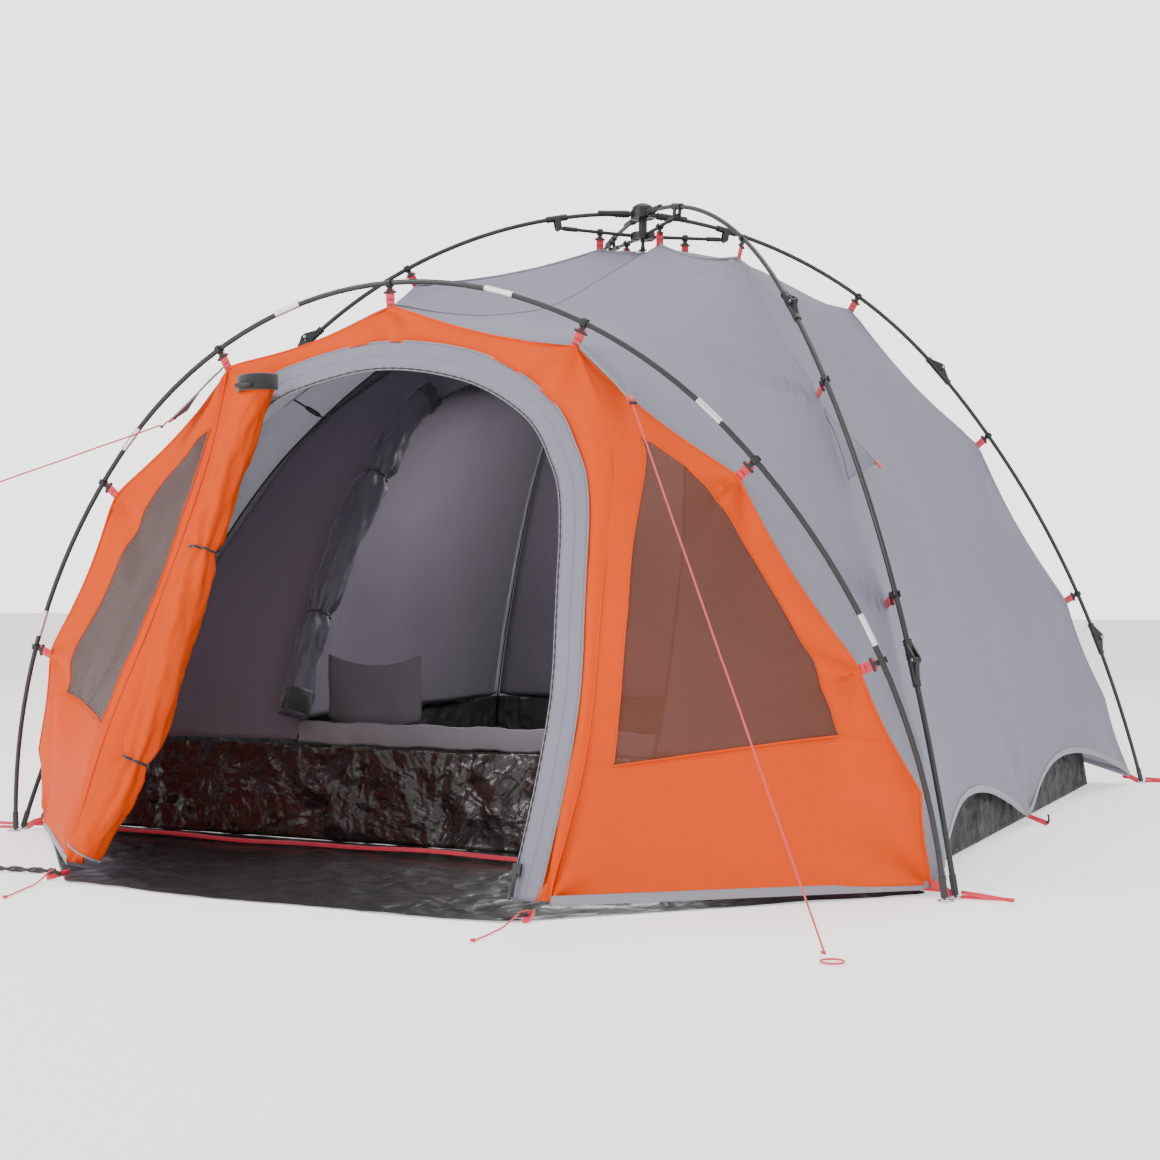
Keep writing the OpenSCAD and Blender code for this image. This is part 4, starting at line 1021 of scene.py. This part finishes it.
# Cabin floor, lying on the ground in slack waves
u = np.linspace(-872, 872, 120)
X, Y = grid(u, u)
P = np.stack([X, Y, 1.6 + 0 * X], axis=-1)
P[..., 2] += np.abs(rumple(P, 120, 5.0, 60, 4))
ground = mesh_object("tub_floor_film", P, "groundsheet", thick=0.0006)
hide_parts("tub_floor")
panel(P)

# Toggle that links the cabin's corner to the fly, and its elastic
for key, turn in (("fl", -135), ("fr", -45)):
    a, b = at_turn(V(752, 880), turn), at_turn(V(828, 925), turn)
    tube(f"link_{key}", [a + (b - a) * k for k in (0, 0.3, 0.7, 1)], 2.2, "black_webbing", 8)
    barrel = [a + (b - a) * k for k in (0.25, 0.35, 0.55, 0.65)]
    tube(f"link_toggle_{key}", barrel, [4, 5.5, 5.5, 4], "plastic", 14)

# ---- porch groundsheet and ground hardware
xs = np.linspace(-935, 935, 170)
back_y = np.interp(xs, [-935, -872, 872, 935], [-975, -870, -870, -975])
front_y = np.interp(xs, [-935, -430, -150, 200, 430, 935], [-975.5, -1490, -1512, -1514, -1498, -975.5])
front_y += 5 * np.sin(xs / 70) * np.exp(-((np.abs(xs) - 200) / 400) ** 2)
v = np.linspace(0, 1, 80)[None]
X, Y = xs[:, None] + 0 * v, back_y[:, None] * (1 - v) + front_y[:, None] * v
P = np.stack([X, Y, 0.9 + 0 * X], axis=-1)
wave = np.abs(rumple(P, 170, 9.0, 70, 4)) + np.clip(rumple(P, 60, 3.0, 71, 3), 0, 9)
P[..., 2] += wave * np.sin(PI * np.clip(v, 0.02, 0.98)) ** 0.4 + 0.2
mat_sheet = mesh_object("porch_groundsheet_film", P, "groundsheet", thick=0.0005)
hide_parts("porch_groundsheet")
panel(P)

t = np.linspace(0, 1, 160)
strap_z = 11 + 2.2 * np.sin(16 * t) + 1.0 * np.sin(41 * t)
strap = np.stack([-974 + 1948 * t, -979 + 1.5 * np.sin(9 * t), strap_z], axis=1)
tape = ribbon("front_strap_web", strap, V(0, 1, 0.5), 14, "red_webbing", 1.8)
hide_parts("front_strap")


def web_loop(name, at, direction, length, width, slack, z=5.0, root=0.0, rise=0.0):
    """Loop of webbing on its edge: out, round a bend and back, its second half higher than the first."""
    d = unit(V(*direction, 0))
    side = turned(d, 90)
    k = np.linspace(0, 1, 40)[:, None]
    out = np.sin(PI * k)
    pts = V(*at, z) + d * length * out + side * slack * np.sin(2 * PI * k) * (0.4 + 0.6 * out)
    pts += UP * (root * (1 - out) + rise * np.sin(PI * k / 2) ** 4)
    return ribbon(name, pts, UP, width * 0.7, "red_webbing", 1.7)


dress("steel", "corner_rings")
for key, sx, sy in (("fr", 1, -1), ("fl", -1, -1), ("rr", 1, 1), ("rl", -1, 1)):
    web_loop(f"peg_loop_{key}", (sx * 1000, sy * 992), (sx, 0.12 * sy), 88, 9, 13, 4.2, 0, 7)
    hem = V(sx * 948, sy * (978 if sy < 0 else 962), 20)
    ring_at = V(sx * 983, sy * 986, 5)
    pull = [hem, (hem + ring_at) * 0.5 + UP * 3, ring_at]
    ribbon(f"corner_strap_{key}", pull, UP, 13, "red_webbing", 1.8)
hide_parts("corner_loops")
hem_loops = ((456, -1448, 0.1, -1), (-456, -1448, -0.5, -1), (900, 0, 1, 0), (0, 900, 0, 1), (-900, 0, -1, 0))
for k, (x, y, dx, dy) in enumerate(hem_loops):
    web_loop(f"hem_loop_{k}", (x, y), (dx, dy), 42, 13, 7, root=15 if k > 1 else 6)
for k, (x, y) in enumerate(((456, -1484), (-466, -1474))):
    bar = V(x, y, 0) + [(-9, -4, 9), (-4, -3, 12), (4, 1, 12), (9, 3, 7)]
    tube(f"peg_hook_{k}", bar, [2.2, 3.4, 3.4, 2.4], "plastic", 12)
for k, (x, y) in enumerate(((944, 0), (0, 944), (-944, 0))):
    across = V(0, 9, 0) if x else V(9, 0, 0)
    bend = [V(x, y, 14) + across * sin(q) + UP * 9 * cos(q) for q in np.linspace(0, 1.4 * PI, 22)]
    tube(f"hem_hook_{k}", bend, 2.3, "plastic", 10)

# Peg: a flat bar with two full twists, which tapers to its point
start = V(-520, -1432, 5.6)
run = V(-cos(radians(8)), -sin(radians(8)), 0)
across = turned(run, 90)
section = [(5, 1.9), (4.2, 2.25), (-4.2, 2.25), (-5, 1.9), (-5, -1.9), (-4.2, -2.25), (4.2, -2.25), (5, -1.9)]
verts = []
for s in np.linspace(0, 1, 180):
    a = 4 * PI * s
    taper = 1.0 if s < 0.86 else max(0.1, (1 - s) / 0.14)
    for x, y in section:
        turned_x, turned_y = x * cos(a) - y * sin(a), x * sin(a) + y * cos(a)
        verts.append((start + run * 170 * s + (across * turned_x + UP * turned_y) * taper) * MM)
twist_peg = rings("twisted_peg", verts, 180, len(section), "plastic")
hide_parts("peg_left")
tube("twisted_peg_head", [start - run * k for k in (1, 4, 10, 15)], [4.2, 5.4, 5.4, 3.6], "plastic", 14)

# ---- riding
for ob, body in made:
    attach(ob, body)
    if body == "tent":
        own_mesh(ob)

# ---- floor and lights
floor_mat = Nodes("floor")
paper = floor_mat.noise(3, 2)
pale = floor_mat.mix(floor_mat.span(paper, 0, 0.1), (0.95, 0.95, 0.95, 1), (0.92, 0.92, 0.92, 1))
floor_mat.surface(floor_mat.new("ShaderNodeBsdfPrincipled", {
    "Base Color": pale, "Roughness": 0.7, "Emission Color": (1, 1, 1, 1), "Emission Strength": 0.7}))
fm = bpy.data.meshes.new("floor")
fm.from_pydata([(x, y, -0.001) for x, y in ((-30, -30), (30, -30), (30, 30), (-30, 30))], [], [(0, 1, 2, 3)])
fm.materials.append(mat["floor"])
floor = bpy.data.objects.new("floor", fm)
bpy.context.collection.objects.link(floor)

world = bpy.data.worlds.new("studio")
bpy.context.scene.world = world
world.use_nodes = True
tree = world.node_tree
sky = tree.nodes["Background"]
sky.inputs["Color"].default_value = (1, 1, 1, 1)
seen = tree.nodes.new("ShaderNodeLightPath").outputs["Is Camera Ray"]
glow = tree.nodes.new("ShaderNodeMapRange")
glow.inputs["To Min"].default_value = 1.0
glow.inputs["To Max"].default_value = 2.8
tree.links.new(seen, glow.inputs["Value"])
tree.links.new(glow.outputs[0], sky.inputs["Strength"])


def lamp(name, place, aim, size, power):
    data = bpy.data.lights.new(name, "AREA")
    data.shape = "SQUARE"
    data.size = size
    data.energy = power
    ob = bpy.data.objects.new(name, data)
    ob.location = place
    ob.rotation_euler = (Vector(aim) - Vector(place)).to_track_quat("-Z", "Y").to_euler()
    bpy.context.collection.objects.link(ob)


lamp("key", (-3.2, -5.5, 5.0), (0, -0.4, 0.5), 3.2, 330)
lamp("fill", (5.0, -4.2, 3.2), (0, 0, 0.5), 3.5, 70)
lamp("top", (0.5, 1.0, 6.0), (0, 0, 0), 4.0, 160)
lamp("inside", (0.05, -0.1, 0.98), (0.05, 0.1, 0), 0.35, 22)
